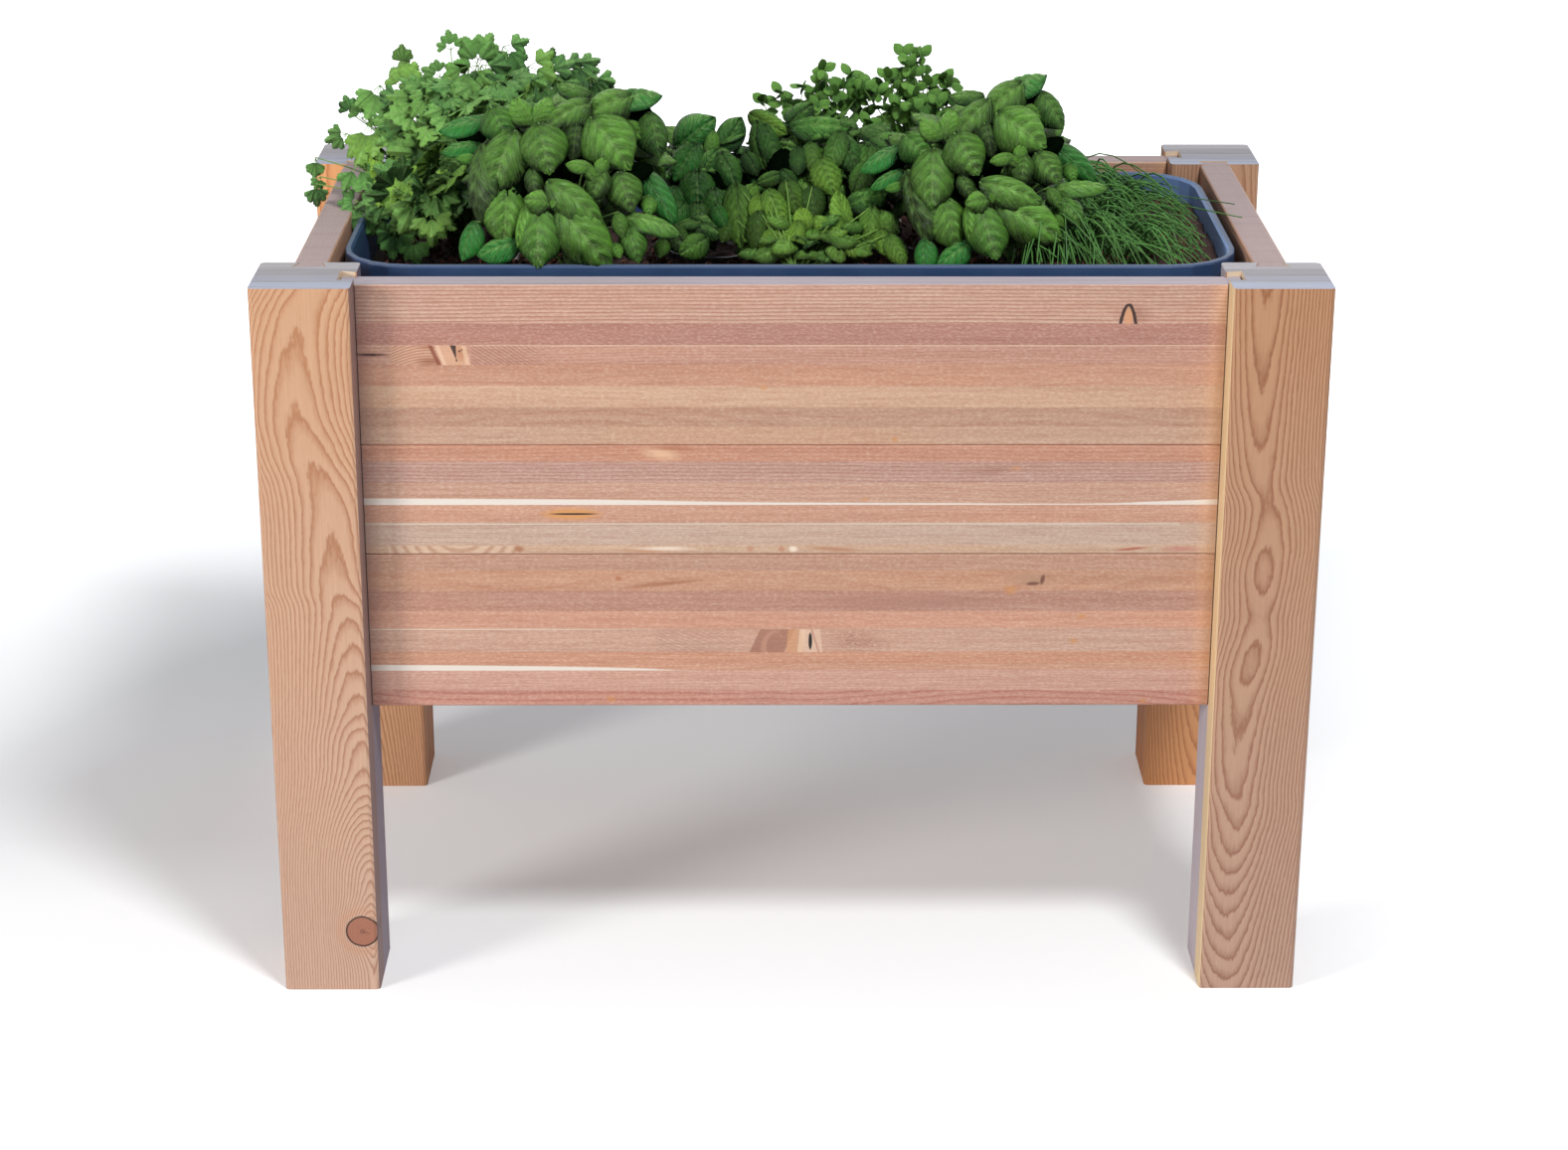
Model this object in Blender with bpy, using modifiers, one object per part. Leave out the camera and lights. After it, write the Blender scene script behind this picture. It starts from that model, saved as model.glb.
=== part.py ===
"""Raised planter: a softwood box on four square posts, with a plastic tub of herbs inside.

The walls are stacked boards whose dovetail tails slide down stopped grooves in the posts.
Ledgers screwed inside the long walls carry the floor slats, and the slats carry the tub,
which lifts straight out. Metres, +Z up, X along the length, the front faces -Y. The origin
is on the ground below the middle of the posts.
"""

import math
import random

import bmesh
import bpy
from mathutils import Matrix, Quaternion, Vector

# Overall size of the wooden frame
LENGTH = 1.000
DEPTH = 0.590
HEIGHT = 0.718

# Posts
POST_SIDE = 0.094
POST_EASE = 0.004
POST_EASE_SEGMENTS = 2
ROUND_PROFILE = 0.5

# Wall boards, stacked from the bottom up
BOARD_THICKNESS = 0.032
BOTTOM_BOARD_HEIGHT = 0.156
MIDDLE_BOARD_HEIGHT = 0.109
TOP_BOARD_HEIGHT = 0.156
BOARD_EASE = 0.0012
LONG_WALL_DROP = 0.005
SHORT_WALL_DROP = 0.0008

# Sliding dovetail joints
TAIL_DEPTH = 0.0135
TAIL_END_WIDTH = 0.031
TAIL_NECK_WIDTH = 0.022
GROOVE_SIDE_GAP = 0.0008
GROOVE_END_GAP = 0.002

# Fits
SEAT_GAP = 0.0003
CUTTER_OVERRUN = 0.02
WELD_DISTANCE = 0.00001
FLAT_ANGLE = 0.01

# Ledgers and floor slats
LEDGER_THICKNESS = 0.030
LEDGER_HEIGHT = 0.040
LEDGER_END_GAP = 0.001
SLAT_WIDTH = 0.095
SLAT_THICKNESS = 0.020
SLAT_COUNT = 7
SLAT_POST_GAP = 0.004

# Countersunk wood screws
SCREW_SHANK_RADIUS = 0.00225
SCREW_HEAD_RADIUS = 0.0045
SCREW_HEAD_DEPTH = 0.0030
SCREW_TIP_LENGTH = 0.006
SCREW_SINK = 0.0004
SCREW_SIDES = 8
SCREW_TURN = 0.2
SLAT_SCREW_LENGTH = 0.045
LEDGER_SCREW_LENGTH = 0.050

# Places of the ledgers' screws, in slat pitches from the middle
LEDGER_SCREW_PLACES = (-2.5, -0.5, 0.5, 2.5)

# Tub
TUB_END_GAP = 0.007
TUB_SIDE_GAP = 0.039
TUB_RIM_DROP = 0.0054
TUB_CORNER_RADIUS = 0.070
TUB_CORNER_STEPS = 5
TUB_WALL = 0.0025
TUB_LIP_WIDTH = 0.0075
TUB_LIP_DROP = 0.015
TUB_LIP_ROUND = 0.0022
TUB_DRAFT = 0.014
TUB_BASE_FILLET = 0.018
DRAIN_RADIUS = 0.004
DRAIN_SIDES = 8
DRAIN_SPACING_X = 0.240
DRAIN_SPACING_Y = 0.150

# Soil, whose surface lies lower below the tub's rim on the left than on the right
SOIL_FIT_GAP = 0.0005
SOIL_DROP_LEFT = 0.0486
SOIL_DROP_RIGHT = 0.0226
SOIL_RIPPLE = 0.004
SOIL_WAVES_X = 20
SOIL_WAVES_Y = 12
SOIL_SHIFT_X = 1.3
SOIL_SHIFT_Y = 0.4
SOIL_SLANT_SHARE = 0.5
SOIL_RING_STEPS = 4
SOIL_RING_REACH = 0.78

# Nursery pot
POT_RADIUS = 0.046
POT_BASE_RADIUS = 0.033
POT_HEIGHT = 0.072
POT_WALL = 0.0015
POT_RIM_WIDTH = 0.003
POT_RIM_HEIGHT = 0.010
POT_SHOW = 0.009
POT_DRAIN_RADIUS = 0.008
POT_SIDES = 20

# Roots, stems and leaves
ROOT_SIDES = 10
ROOT_TAPER = 0.8
ROOT_DEPTH = 0.050
ROOT_SINK = 0.004
POTTED_ROOT_DEPTH = 0.060
TRUNK_RADIUS = 0.005
CROWN_SWELL = 1.2
STEM_RADIUS = 0.0020
STEM_TAPER = 0.6
STEM_SIDES = 3
BLADE_RADIUS = 0.0016
LEAF_SIDES = 6
LOBED_LEAF_SIDES = 8
LEAF_BREADTH = 0.72
OVAL_BELLY = 0.28
LOBE_REACH = 0.36
LOBE_SWING = 0.14
LOBE_TURNS = 4
LEAF_SHRINKS = (1.0, 0.85, 0.7, 0.55, 0.4)
GOLDEN_ANGLE = math.pi * (3 - math.sqrt(5))

# Just short of a full turn, so that an angle a rounding error below zero sorts first
FULL_TURN = 2 * math.pi - 1e-4

# The crowded inside of a bush, as a share of its bed, and where leaves stand on it
HEART_SHARE = 0.68
HEART_LIFT = 0.008
HEART_STEPS = 2
LEAF_FOOT = 0.88
LOWEST_LEAF_RISE = -0.25268026
HIGHEST_LEAF_RISE = 1.32523085
LEAF_TURN_PLAY = 0.2
LEAF_RISE_SHARE = 0.75
LEAF_RISE_DROP = 0.25
LEAF_RISE_PLAY = 0.15
LEAF_FACE_UP = 0.8

# Parsley stalks: the fork's place, and the place on the fork and the turn of its leaves
FORK_SHARE = 0.66
FORK_TAPER = 0.8
FORK_LEAVES = ((1.0, 0.0), (0.55, 1.15), (0.30, -1.15))
FORK_TURN_PLAY = 0.3
FORK_LEAF_RISE = 0.15
FORK_FACE_RISE = 0.7
FORK_FACE_PLAY = 0.5

# Oregano stems: where on a stem its leaf pairs sit, and how they turn, rise and shrink upwards
LOWEST_PAIR = 0.40
HIGHEST_PAIR = 0.94
STEM_FOOT_SHARE = 0.05
STEM_TURN = 1.1
PAIR_TURN_PLAY = 0.25
PAIR_RISE = 0.05
PAIR_RISE_GROWTH = 0.55
PAIR_LEAN = 0.1
PAIR_SHRINK = 0.35

# Rosette: the share of the crown's height where its leaves start and what they spread over
CROWN_START = 0.40
CROWN_SPREAD = 0.55
CROWN_TURN_PLAY = 0.15

# Chives: the fan of blades, and each piece of a blade as its share of the length and its rise
FAN_START = -1.35
FAN_SPREAD = 2.4
FAN_FOOT = 0.012
BLADE_PIECES = ((0.45, 1.15), (0.35, 0.45), (0.20, -0.35))
BLADE_TAPER = 0.8

# Room between neighbouring herbs, and between a leaf and what is under it
PLOT_MARGIN = 0.0015
LEAF_CLEARANCE = 0.003


def clear_scene():
    for obj in list(bpy.data.objects):
        bpy.data.objects.remove(obj, do_unlink=True)


def new_collection(name):
    made = bpy.data.collections.new(name)
    bpy.context.scene.collection.children.link(made)
    return made


def new_material(name, colour, roughness, metallic=0.0):
    made = bpy.data.materials.new(name)
    made.use_nodes = True
    shader = made.node_tree.nodes["Principled BSDF"]
    shader.inputs["Base Color"].default_value = (*colour, 1.0)
    shader.inputs["Roughness"].default_value = roughness
    shader.inputs["Metallic"].default_value = metallic
    return made


clear_scene()
PARTS = new_collection("raised_planter")
CUTTERS = new_collection("cutters")
CUTTERS.hide_render = True

# Colour and roughness of each material
POST_WOOD = (0.60, 0.33, 0.17)
BOARD_WOOD = (0.62, 0.36, 0.24)
INNER_WOOD = (0.55, 0.38, 0.24)
ZINC_STEEL = (0.62, 0.62, 0.60)
TUB_PLASTIC = (0.045, 0.085, 0.150)
POT_PLASTIC = (0.02, 0.02, 0.02)
SOIL_BROWN = (0.035, 0.020, 0.014)
BASIL_GREEN = (0.05, 0.21, 0.03)
PARSLEY_GREEN = (0.12, 0.33, 0.03)
BALM_GREEN = (0.13, 0.36, 0.05)
OREGANO_GREEN = (0.09, 0.30, 0.05)
CHIVE_GREEN = (0.07, 0.28, 0.06)
PLANED_ROUGHNESS = 0.55
SAWN_ROUGHNESS = 0.60
STEEL_ROUGHNESS = 0.35
TUB_ROUGHNESS = 0.45
POT_ROUGHNESS = 0.40
SOIL_ROUGHNESS = 0.95
LEAF_ROUGHNESS = 0.50


def add_object(name, mesh, colour, roughness, metallic=0.0):
    made = bpy.data.objects.new(name, mesh)
    PARTS.objects.link(made)
    made.data.materials.append(new_material(name, colour, roughness, metallic))
    return made


def add_cutter(name, mesh):
    made = bpy.data.objects.new(name, mesh)
    CUTTERS.objects.link(made)
    made.hide_render = True
    made.display_type = "WIRE"
    return made


def mesh_from(bm, name, recalculate=True):
    if recalculate:
        bmesh.ops.recalc_face_normals(bm, faces=bm.faces)
    mesh = bpy.data.meshes.new(name)
    bm.to_mesh(mesh)
    bm.free()
    return mesh


def cut(obj, cutter):
    boolean = obj.modifiers.new(cutter.name, "BOOLEAN")
    boolean.operation = "DIFFERENCE"
    boolean.solver = "EXACT"
    boolean.object = cutter


def join(obj, other):
    """Adds a mesh whose own shapes may cross each other."""
    boolean = obj.modifiers.new(other.name, "BOOLEAN")
    boolean.operation = "UNION"
    boolean.solver = "EXACT"
    boolean.use_self = True
    boolean.object = other


def connected_faces(bm):
    """The faces of each connected part of the mesh, as a list of sets."""
    left = set(bm.faces)
    parts = []
    while left:
        part = set()
        reached = [left.pop()]
        while reached:
            face = reached.pop()
            part.add(face)
            for edge in face.edges:
                for other in edge.link_faces:
                    if other in left:
                        left.remove(other)
                        reached.append(other)
        parts.append(part)
    return parts


def volume_of(faces):
    """Signed volume enclosed by flat faces."""
    total = 0.0
    for face in faces:
        first, *rest = [vert.co for vert in face.verts]
        for second, third in zip(rest, rest[1:]):
            total += first.dot(second.cross(third)) / 6
    return total


def keep_main_body(obj):
    """Applies the joins, then drops stray leaves and the pockets that leaves close off."""
    evaluated = obj.evaluated_get(bpy.context.evaluated_depsgraph_get())
    mesh = bpy.data.meshes.new_from_object(evaluated)
    obj.modifiers.clear()
    obj.data = mesh
    bm = bmesh.new()
    bm.from_mesh(mesh)
    parts = sorted(connected_faces(bm), key=volume_of)
    stray = [face for part in parts[:-1] for face in part]
    bmesh.ops.delete(bm, geom=stray, context="FACES")
    bm.to_mesh(mesh)
    bm.free()


def ease_edges(obj, width, segments=1):
    bevel = obj.modifiers.new("eased_edges", "BEVEL")
    bevel.width = width
    bevel.segments = segments
    bevel.limit_method = "ANGLE"


def box_mesh(name, size):
    bm = bmesh.new()
    bmesh.ops.create_cube(bm, size=1.0)
    bmesh.ops.scale(bm, vec=size, verts=bm.verts)
    return mesh_from(bm, name)


def outline_mesh(name, points, thickness):
    """A flat outline in XY as a solid of this thickness, centred on z = 0."""
    curve = bpy.data.curves.new(name, "CURVE")
    curve.dimensions = "2D"
    curve.fill_mode = "BOTH"
    curve.extrude = thickness / 2
    spline = curve.splines.new("POLY")
    spline.points.add(len(points) - 1)
    for point, (x, y) in zip(spline.points, points):
        point.co = (x, y, 0.0, 1.0)
    spline.use_cyclic_u = True
    holder = bpy.data.objects.new(name, curve)
    CUTTERS.objects.link(holder)
    bpy.context.view_layer.update()
    evaluated = holder.evaluated_get(bpy.context.evaluated_depsgraph_get())
    mesh = bpy.data.meshes.new_from_object(evaluated)
    bpy.data.objects.remove(holder, do_unlink=True)
    bpy.data.curves.remove(curve)
    bm = bmesh.new()
    bm.from_mesh(mesh)
    bmesh.ops.remove_doubles(bm, verts=bm.verts, dist=WELD_DISTANCE)
    bmesh.ops.dissolve_limit(bm, angle_limit=FLAT_ANGLE, verts=bm.verts, edges=bm.edges)
    bmesh.ops.recalc_face_normals(bm, faces=bm.faces)
    bm.to_mesh(mesh)
    bm.free()
    return mesh


# Wooden frame

POST_CENTRE_X = LENGTH / 2 - POST_SIDE / 2
POST_CENTRE_Y = DEPTH / 2 - POST_SIDE / 2
WALL_HEIGHT = BOTTOM_BOARD_HEIGHT + MIDDLE_BOARD_HEIGHT + TOP_BOARD_HEIGHT + 2 * SEAT_GAP
LONG_WALL_BOTTOM = HEIGHT - LONG_WALL_DROP - WALL_HEIGHT
SHORT_WALL_BOTTOM = HEIGHT - SHORT_WALL_DROP - WALL_HEIGHT
BETWEEN_POSTS_X = LENGTH - 2 * POST_SIDE
BETWEEN_POSTS_Y = DEPTH - 2 * POST_SIDE
LONG_WALL_INNER_Y = POST_CENTRE_Y - BOARD_THICKNESS / 2
SHORT_WALL_INNER_X = POST_CENTRE_X - BOARD_THICKNESS / 2


def groove_mesh(name):
    """The dovetail groove in plan: it opens at x = 0 and runs into +X."""
    mouth = TAIL_NECK_WIDTH / 2 + GROOVE_SIDE_GAP
    end = TAIL_END_WIDTH / 2 + GROOVE_SIDE_GAP
    depth = TAIL_DEPTH + GROOVE_END_GAP
    outline = [
        (-CUTTER_OVERRUN, -mouth),
        (0.0, -mouth),
        (depth, -end),
        (depth, end),
        (0.0, mouth),
        (-CUTTER_OVERRUN, mouth),
    ]
    return outline_mesh(name, outline, HEIGHT)


def add_groove(post, name, x, y, angle, wall_bottom):
    cutter = add_cutter(name, groove_mesh(name))
    cutter.location = (x, y, wall_bottom - SEAT_GAP + HEIGHT / 2)
    cutter.rotation_euler = (0.0, 0.0, angle)
    cut(post, cutter)


def add_post(name, side_x, side_y):
    """side_x and side_y are -1 or 1, for the corner that the post stands on."""
    bm = bmesh.new()
    bmesh.ops.create_cube(bm, size=1.0)
    bmesh.ops.scale(bm, vec=(POST_SIDE, POST_SIDE, HEIGHT), verts=bm.verts)
    upright = [
        edge for edge in bm.edges if abs(edge.verts[0].co.z - edge.verts[1].co.z) > HEIGHT / 2
    ]
    bmesh.ops.bevel(
        bm,
        geom=upright,
        offset=POST_EASE,
        segments=POST_EASE_SEGMENTS,
        affect="EDGES",
        profile=ROUND_PROFILE,
    )
    post = add_object(name, mesh_from(bm, name), POST_WOOD, PLANED_ROUGHNESS)
    post.location = (side_x * POST_CENTRE_X, side_y * POST_CENTRE_Y, HEIGHT / 2)
    add_groove(
        post,
        name + "_long_groove",
        side_x * (POST_CENTRE_X - POST_SIDE / 2),
        side_y * POST_CENTRE_Y,
        0.0 if side_x > 0 else math.pi,
        LONG_WALL_BOTTOM,
    )
    add_groove(
        post,
        name + "_short_groove",
        side_x * POST_CENTRE_X,
        side_y * (POST_CENTRE_Y - POST_SIDE / 2),
        side_y * math.pi / 2,
        SHORT_WALL_BOTTOM,
    )


def board_outline(between_posts):
    """A board seen from above: a tail at each end, shoulders against the posts."""
    half = between_posts / 2 - SEAT_GAP
    tip = between_posts / 2 + TAIL_DEPTH
    side = BOARD_THICKNESS / 2
    neck = TAIL_NECK_WIDTH / 2
    end = TAIL_END_WIDTH / 2
    right = [(half, -side), (half, -neck), (tip, -end), (tip, end), (half, neck), (half, side)]
    left = [(-x, -y) for x, y in right]
    return right + left


def ease_long_edges(mesh, between_posts):
    """Takes the sharpness off a board's four long edges, which stop at its shoulders."""
    bm = bmesh.new()
    bm.from_mesh(mesh)
    long_edges = [edge for edge in bm.edges if edge.calc_length() > between_posts / 2]
    bmesh.ops.bevel(
        bm, geom=long_edges, offset=BOARD_EASE, segments=1, affect="EDGES", profile=ROUND_PROFILE
    )
    bm.to_mesh(mesh)
    bm.free()


def add_board(name, between_posts, height, bottom, x, y, angle):
    mesh = outline_mesh(name, board_outline(between_posts), height)
    ease_long_edges(mesh, between_posts)
    board = add_object(name, mesh, BOARD_WOOD, PLANED_ROUGHNESS)
    board.location = (x, y, bottom + height / 2)
    board.rotation_euler = (0.0, 0.0, angle)
    return board


def add_wall(name, between_posts, wall_bottom, x, y, angle):
    boards = {}
    bottom = wall_bottom
    for level, height in (
        ("bottom", BOTTOM_BOARD_HEIGHT),
        ("middle", MIDDLE_BOARD_HEIGHT),
        ("top", TOP_BOARD_HEIGHT),
    ):
        board_name = f"{name}_board_{level}"
        boards[level] = add_board(board_name, between_posts, height, bottom, x, y, angle)
        bottom += height + SEAT_GAP
    return boards


def add_frame():
    for name, side_x, side_y in (
        ("front_left_post", -1, -1),
        ("front_right_post", 1, -1),
        ("rear_left_post", -1, 1),
        ("rear_right_post", 1, 1),
    ):
        add_post(name, side_x, side_y)
    quarter = math.pi / 2
    walls = {
        "front": add_wall("front", BETWEEN_POSTS_X, LONG_WALL_BOTTOM, 0.0, -POST_CENTRE_Y, 0.0),
        "rear": add_wall("rear", BETWEEN_POSTS_X, LONG_WALL_BOTTOM, 0.0, POST_CENTRE_Y, 0.0),
    }
    add_wall("left", BETWEEN_POSTS_Y, SHORT_WALL_BOTTOM, -POST_CENTRE_X, 0.0, quarter)
    add_wall("right", BETWEEN_POSTS_Y, SHORT_WALL_BOTTOM, POST_CENTRE_X, 0.0, quarter)
    return walls


# Floor: ledgers, slats and their screws

LEDGER_OUTER_Y = LONG_WALL_INNER_Y - SEAT_GAP
LEDGER_INNER_Y = LEDGER_OUTER_Y - LEDGER_THICKNESS
LEDGER_CENTRE_Y = (LEDGER_OUTER_Y + LEDGER_INNER_Y) / 2
LEDGER_BOTTOM = LONG_WALL_BOTTOM + BOARD_EASE
LEDGER_TOP = LEDGER_BOTTOM + LEDGER_HEIGHT
SLAT_BOTTOM = LEDGER_TOP + SEAT_GAP
SLAT_TOP = SLAT_BOTTOM + SLAT_THICKNESS
SLAT_PITCH = (BETWEEN_POSTS_X - 2 * SLAT_POST_GAP - SLAT_WIDTH) / (SLAT_COUNT - 1)
FIRST_SLAT_X = -SLAT_PITCH * (SLAT_COUNT - 1) / 2


def screw_profile(length, extra):
    """Half of a screw's section, from the head's rim down to the tip, head up."""
    return [
        (SCREW_HEAD_RADIUS + extra, 0.0),
        (SCREW_SHANK_RADIUS + extra, -SCREW_HEAD_DEPTH),
        (SCREW_SHANK_RADIUS + extra, -length + SCREW_TIP_LENGTH),
        (0.0, -length - extra),
    ]


def turn_profile(obj, sides):
    turn = obj.modifiers.new("turned", "SCREW")
    turn.axis = "Z"
    turn.steps = sides
    turn.render_steps = sides
    turn.use_merge_vertices = True
    turn.merge_threshold = WELD_DISTANCE


def profile_mesh(name, points, closed=False):
    mesh = bpy.data.meshes.new(name)
    edges = [(i, i + 1) for i in range(len(points) - 1)]
    if closed:
        edges.append((len(points) - 1, 0))
    mesh.from_pydata([(x, 0.0, z) for x, z in points], edges, [])
    return mesh


def place_screw(obj, head, direction):
    """direction is the way that the tip points."""
    turn = Vector((0, 0, -1)).rotation_difference(Vector(direction))
    obj.location = head
    obj.rotation_euler = (turn @ Quaternion((0, 0, 1), SCREW_TURN)).to_euler()


def add_screw(name, head, direction, length, through):
    """A screw whose head lies just under the surface at head, and its hole in each piece."""
    sunk = Vector(head) + Vector(direction) * SCREW_SINK
    screw_points = [(0.0, 0.0)] + screw_profile(length, 0.0)
    mesh = profile_mesh(name, screw_points)
    screw = add_object(name, mesh, ZINC_STEEL, STEEL_ROUGHNESS, metallic=1.0)
    turn_profile(screw, SCREW_SIDES)
    place_screw(screw, sunk, direction)
    above_head = [(0.0, CUTTER_OVERRUN), (SCREW_HEAD_RADIUS + SEAT_GAP, CUTTER_OVERRUN)]
    hole_points = above_head + screw_profile(length, SEAT_GAP)
    hole = add_cutter(name + "_hole", profile_mesh(name + "_hole", hole_points))
    turn_profile(hole, SCREW_SIDES)
    place_screw(hole, sunk, direction)
    for piece in through:
        cut(piece, hole)


def add_floor(walls):
    ledger_size = (BETWEEN_POSTS_X - 2 * LEDGER_END_GAP, LEDGER_THICKNESS, LEDGER_HEIGHT)
    ledgers = {}
    for name, side in (("front", -1), ("rear", 1)):
        mesh = box_mesh(name + "_ledger", ledger_size)
        ledger = add_object(name + "_ledger", mesh, INNER_WOOD, SAWN_ROUGHNESS)
        ledger.location = (0.0, side * LEDGER_CENTRE_Y, (LEDGER_BOTTOM + LEDGER_TOP) / 2)
        ease_edges(ledger, BOARD_EASE)
        ledgers[name] = ledger

    slat_length = 2 * (LONG_WALL_INNER_Y - SEAT_GAP)
    slats = []
    for index in range(SLAT_COUNT):
        name = f"floor_slat_{index + 1}"
        mesh = box_mesh(name, (SLAT_WIDTH, slat_length, SLAT_THICKNESS))
        slat = add_object(name, mesh, INNER_WOOD, SAWN_ROUGHNESS)
        slat.location = (FIRST_SLAT_X + index * SLAT_PITCH, 0.0, (SLAT_BOTTOM + SLAT_TOP) / 2)
        slats.append(slat)

    for name, side in (("front", -1), ("rear", 1)):
        for index, slat in enumerate(slats):
            head = (slat.location.x, side * LEDGER_CENTRE_Y, SLAT_TOP)
            add_screw(
                f"{name}_slat_screw_{index + 1}",
                head,
                (0, 0, -1),
                SLAT_SCREW_LENGTH,
                (slat, ledgers[name]),
            )
        for index, offset in enumerate(LEDGER_SCREW_PLACES):
            head = (offset * SLAT_PITCH, side * LEDGER_INNER_Y, (LEDGER_BOTTOM + LEDGER_TOP) / 2)
            add_screw(
                f"{name}_ledger_screw_{index + 1}",
                head,
                (0, side, 0),
                LEDGER_SCREW_LENGTH,
                (ledgers[name], walls[name]["bottom"]),
            )


# Tub and soil

TUB_HALF_X = SHORT_WALL_INNER_X - TUB_END_GAP
TUB_HALF_Y = LONG_WALL_INNER_Y - TUB_SIDE_GAP
TUB_TOP = HEIGHT - TUB_RIM_DROP
TUB_BOTTOM = SLAT_TOP + SEAT_GAP
TUB_FLOOR = TUB_BOTTOM + TUB_WALL
FILLET_STEPS = 3


def rounded_ring(inset, height):
    """Points of the tub's plan outline moved inwards by inset, all at one height."""
    half_x = TUB_HALF_X - inset
    half_y = TUB_HALF_Y - inset
    radius = max(TUB_CORNER_RADIUS - inset, TUB_LIP_WIDTH)
    points = []
    for corner, (side_x, side_y) in enumerate(((1, 1), (-1, 1), (-1, -1), (1, -1))):
        for step in range(TUB_CORNER_STEPS + 1):
            angle = (corner + step / TUB_CORNER_STEPS) * math.pi / 2
            x = side_x * (half_x - radius) + radius * math.cos(angle)
            y = side_y * (half_y - radius) + radius * math.sin(angle)
            points.append(Vector((x, y, height)))
    return points


def wall_inset(height, gap=0.0):
    """How far inside the rim's outer face the tub's inner wall is at this height."""
    share = (TUB_TOP - height) / (TUB_TOP - TUB_FLOOR)
    return TUB_LIP_WIDTH + TUB_DRAFT * share + gap


def loft(bm, rings, close_ends):
    """Joins each ring of points to the next with quads. close_ends fills the last and first."""
    rows = [[bm.verts.new(point) for point in ring] for ring in rings]
    for lower, upper in zip(rows, rows[1:]):
        count = len(lower)
        for i in range(count):
            bm.faces.new((lower[i], lower[(i + 1) % count], upper[(i + 1) % count], upper[i]))
    bm.faces.new(rows[-1])
    if close_ends:
        bm.faces.new(list(reversed(rows[0])))


def fillet_rings(gap, floor):
    """Rings round the curve between the tub's wall and its base."""
    start = floor + TUB_BASE_FILLET
    rings = []
    for step in range(FILLET_STEPS + 1):
        angle = step / FILLET_STEPS * math.pi / 2
        inset = wall_inset(start, gap) + TUB_BASE_FILLET * (1 - math.cos(angle))
        rings.append(rounded_ring(inset, start - TUB_BASE_FILLET * math.sin(angle)))
    return rings


def add_tub():
    crown = TUB_LIP_ROUND
    rings = [
        rounded_ring(0.0, TUB_TOP - TUB_LIP_DROP),
        rounded_ring(0.0, TUB_TOP - crown),
        rounded_ring(crown * (1 - math.cos(math.pi / 4)), TUB_TOP - crown * (1 - math.sin(math.pi / 4))),
        rounded_ring(crown, TUB_TOP),
        rounded_ring(TUB_LIP_WIDTH - crown, TUB_TOP),
        rounded_ring(TUB_LIP_WIDTH, TUB_TOP - crown),
    ]
    rings += fillet_rings(0.0, TUB_FLOOR)
    bm = bmesh.new()
    loft(bm, rings, close_ends=False)
    mesh = mesh_from(bm, "liner_tub")
    tub = add_object("liner_tub", mesh, TUB_PLASTIC, TUB_ROUGHNESS)
    shell = tub.modifiers.new("shell", "SOLIDIFY")
    shell.thickness = TUB_WALL
    shell.offset = -1.0
    shell.use_even_offset = True
    for index_x in (-1, 0, 1):
        for index_y in (-1, 1):
            name = f"drain_hole_{index_x + 1}_{index_y + 1}"
            bm = bmesh.new()
            bmesh.ops.create_cone(
                bm,
                cap_ends=True,
                segments=DRAIN_SIDES,
                radius1=DRAIN_RADIUS,
                radius2=DRAIN_RADIUS,
                depth=2 * CUTTER_OVERRUN,
            )
            hole = add_cutter(name, mesh_from(bm, name))
            hole.location = (index_x * DRAIN_SPACING_X, index_y * DRAIN_SPACING_Y / 2, TUB_BOTTOM)
            cut(tub, hole)


def soil_level(x, y):
    """Height of the soil's surface: it rises to the right, with low ripples."""
    across = x / TUB_HALF_X
    along = y / TUB_HALF_Y
    drop = SOIL_DROP_LEFT + (SOIL_DROP_RIGHT - SOIL_DROP_LEFT) * (across + 1) / 2
    waves_x = SOIL_WAVES_X * across
    waves_y = SOIL_WAVES_Y * along
    ripple = math.sin(waves_x + SOIL_SHIFT_X) * math.cos(waves_y + SOIL_SHIFT_Y)
    ripple += SOIL_SLANT_SHARE * math.sin(waves_x / 2 - waves_y / 2)
    return TUB_TOP - drop + SOIL_RIPPLE * ripple


def add_soil():
    rings = [list(ring) for ring in reversed(fillet_rings(SOIL_FIT_GAP, TUB_FLOOR + SEAT_GAP))]
    top = [soil_level(point.x, point.y) for point in rounded_ring(wall_inset(TUB_TOP), 0.0)]
    edge = []
    for index, height in enumerate(top):
        point = rounded_ring(wall_inset(height, SOIL_FIT_GAP), height)[index]
        edge.append(point)
    rings.append(edge)
    for step in range(SOIL_RING_STEPS):
        inset = TUB_HALF_Y * SOIL_RING_REACH * (step + 1) / SOIL_RING_STEPS
        ring = rounded_ring(wall_inset(TUB_TOP) + inset, 0.0)
        rings.append([Vector((p.x, p.y, soil_level(p.x, p.y))) for p in ring])
    bm = bmesh.new()
    loft(bm, rings, close_ends=True)
    return add_object("soil_bed", mesh_from(bm, "soil_bed"), SOIL_BROWN, SOIL_ROUGHNESS)


def frustum_mesh(name, top_radius, base_radius, depth, sides):
    """A tapered plug whose top is at z = 0."""
    bm = bmesh.new()
    bmesh.ops.create_cone(
        bm,
        cap_ends=True,
        segments=sides,
        radius1=base_radius,
        radius2=top_radius,
        depth=depth,
        matrix=Matrix.Translation((0.0, 0.0, -depth / 2)),
    )
    return mesh_from(bm, name)


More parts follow.
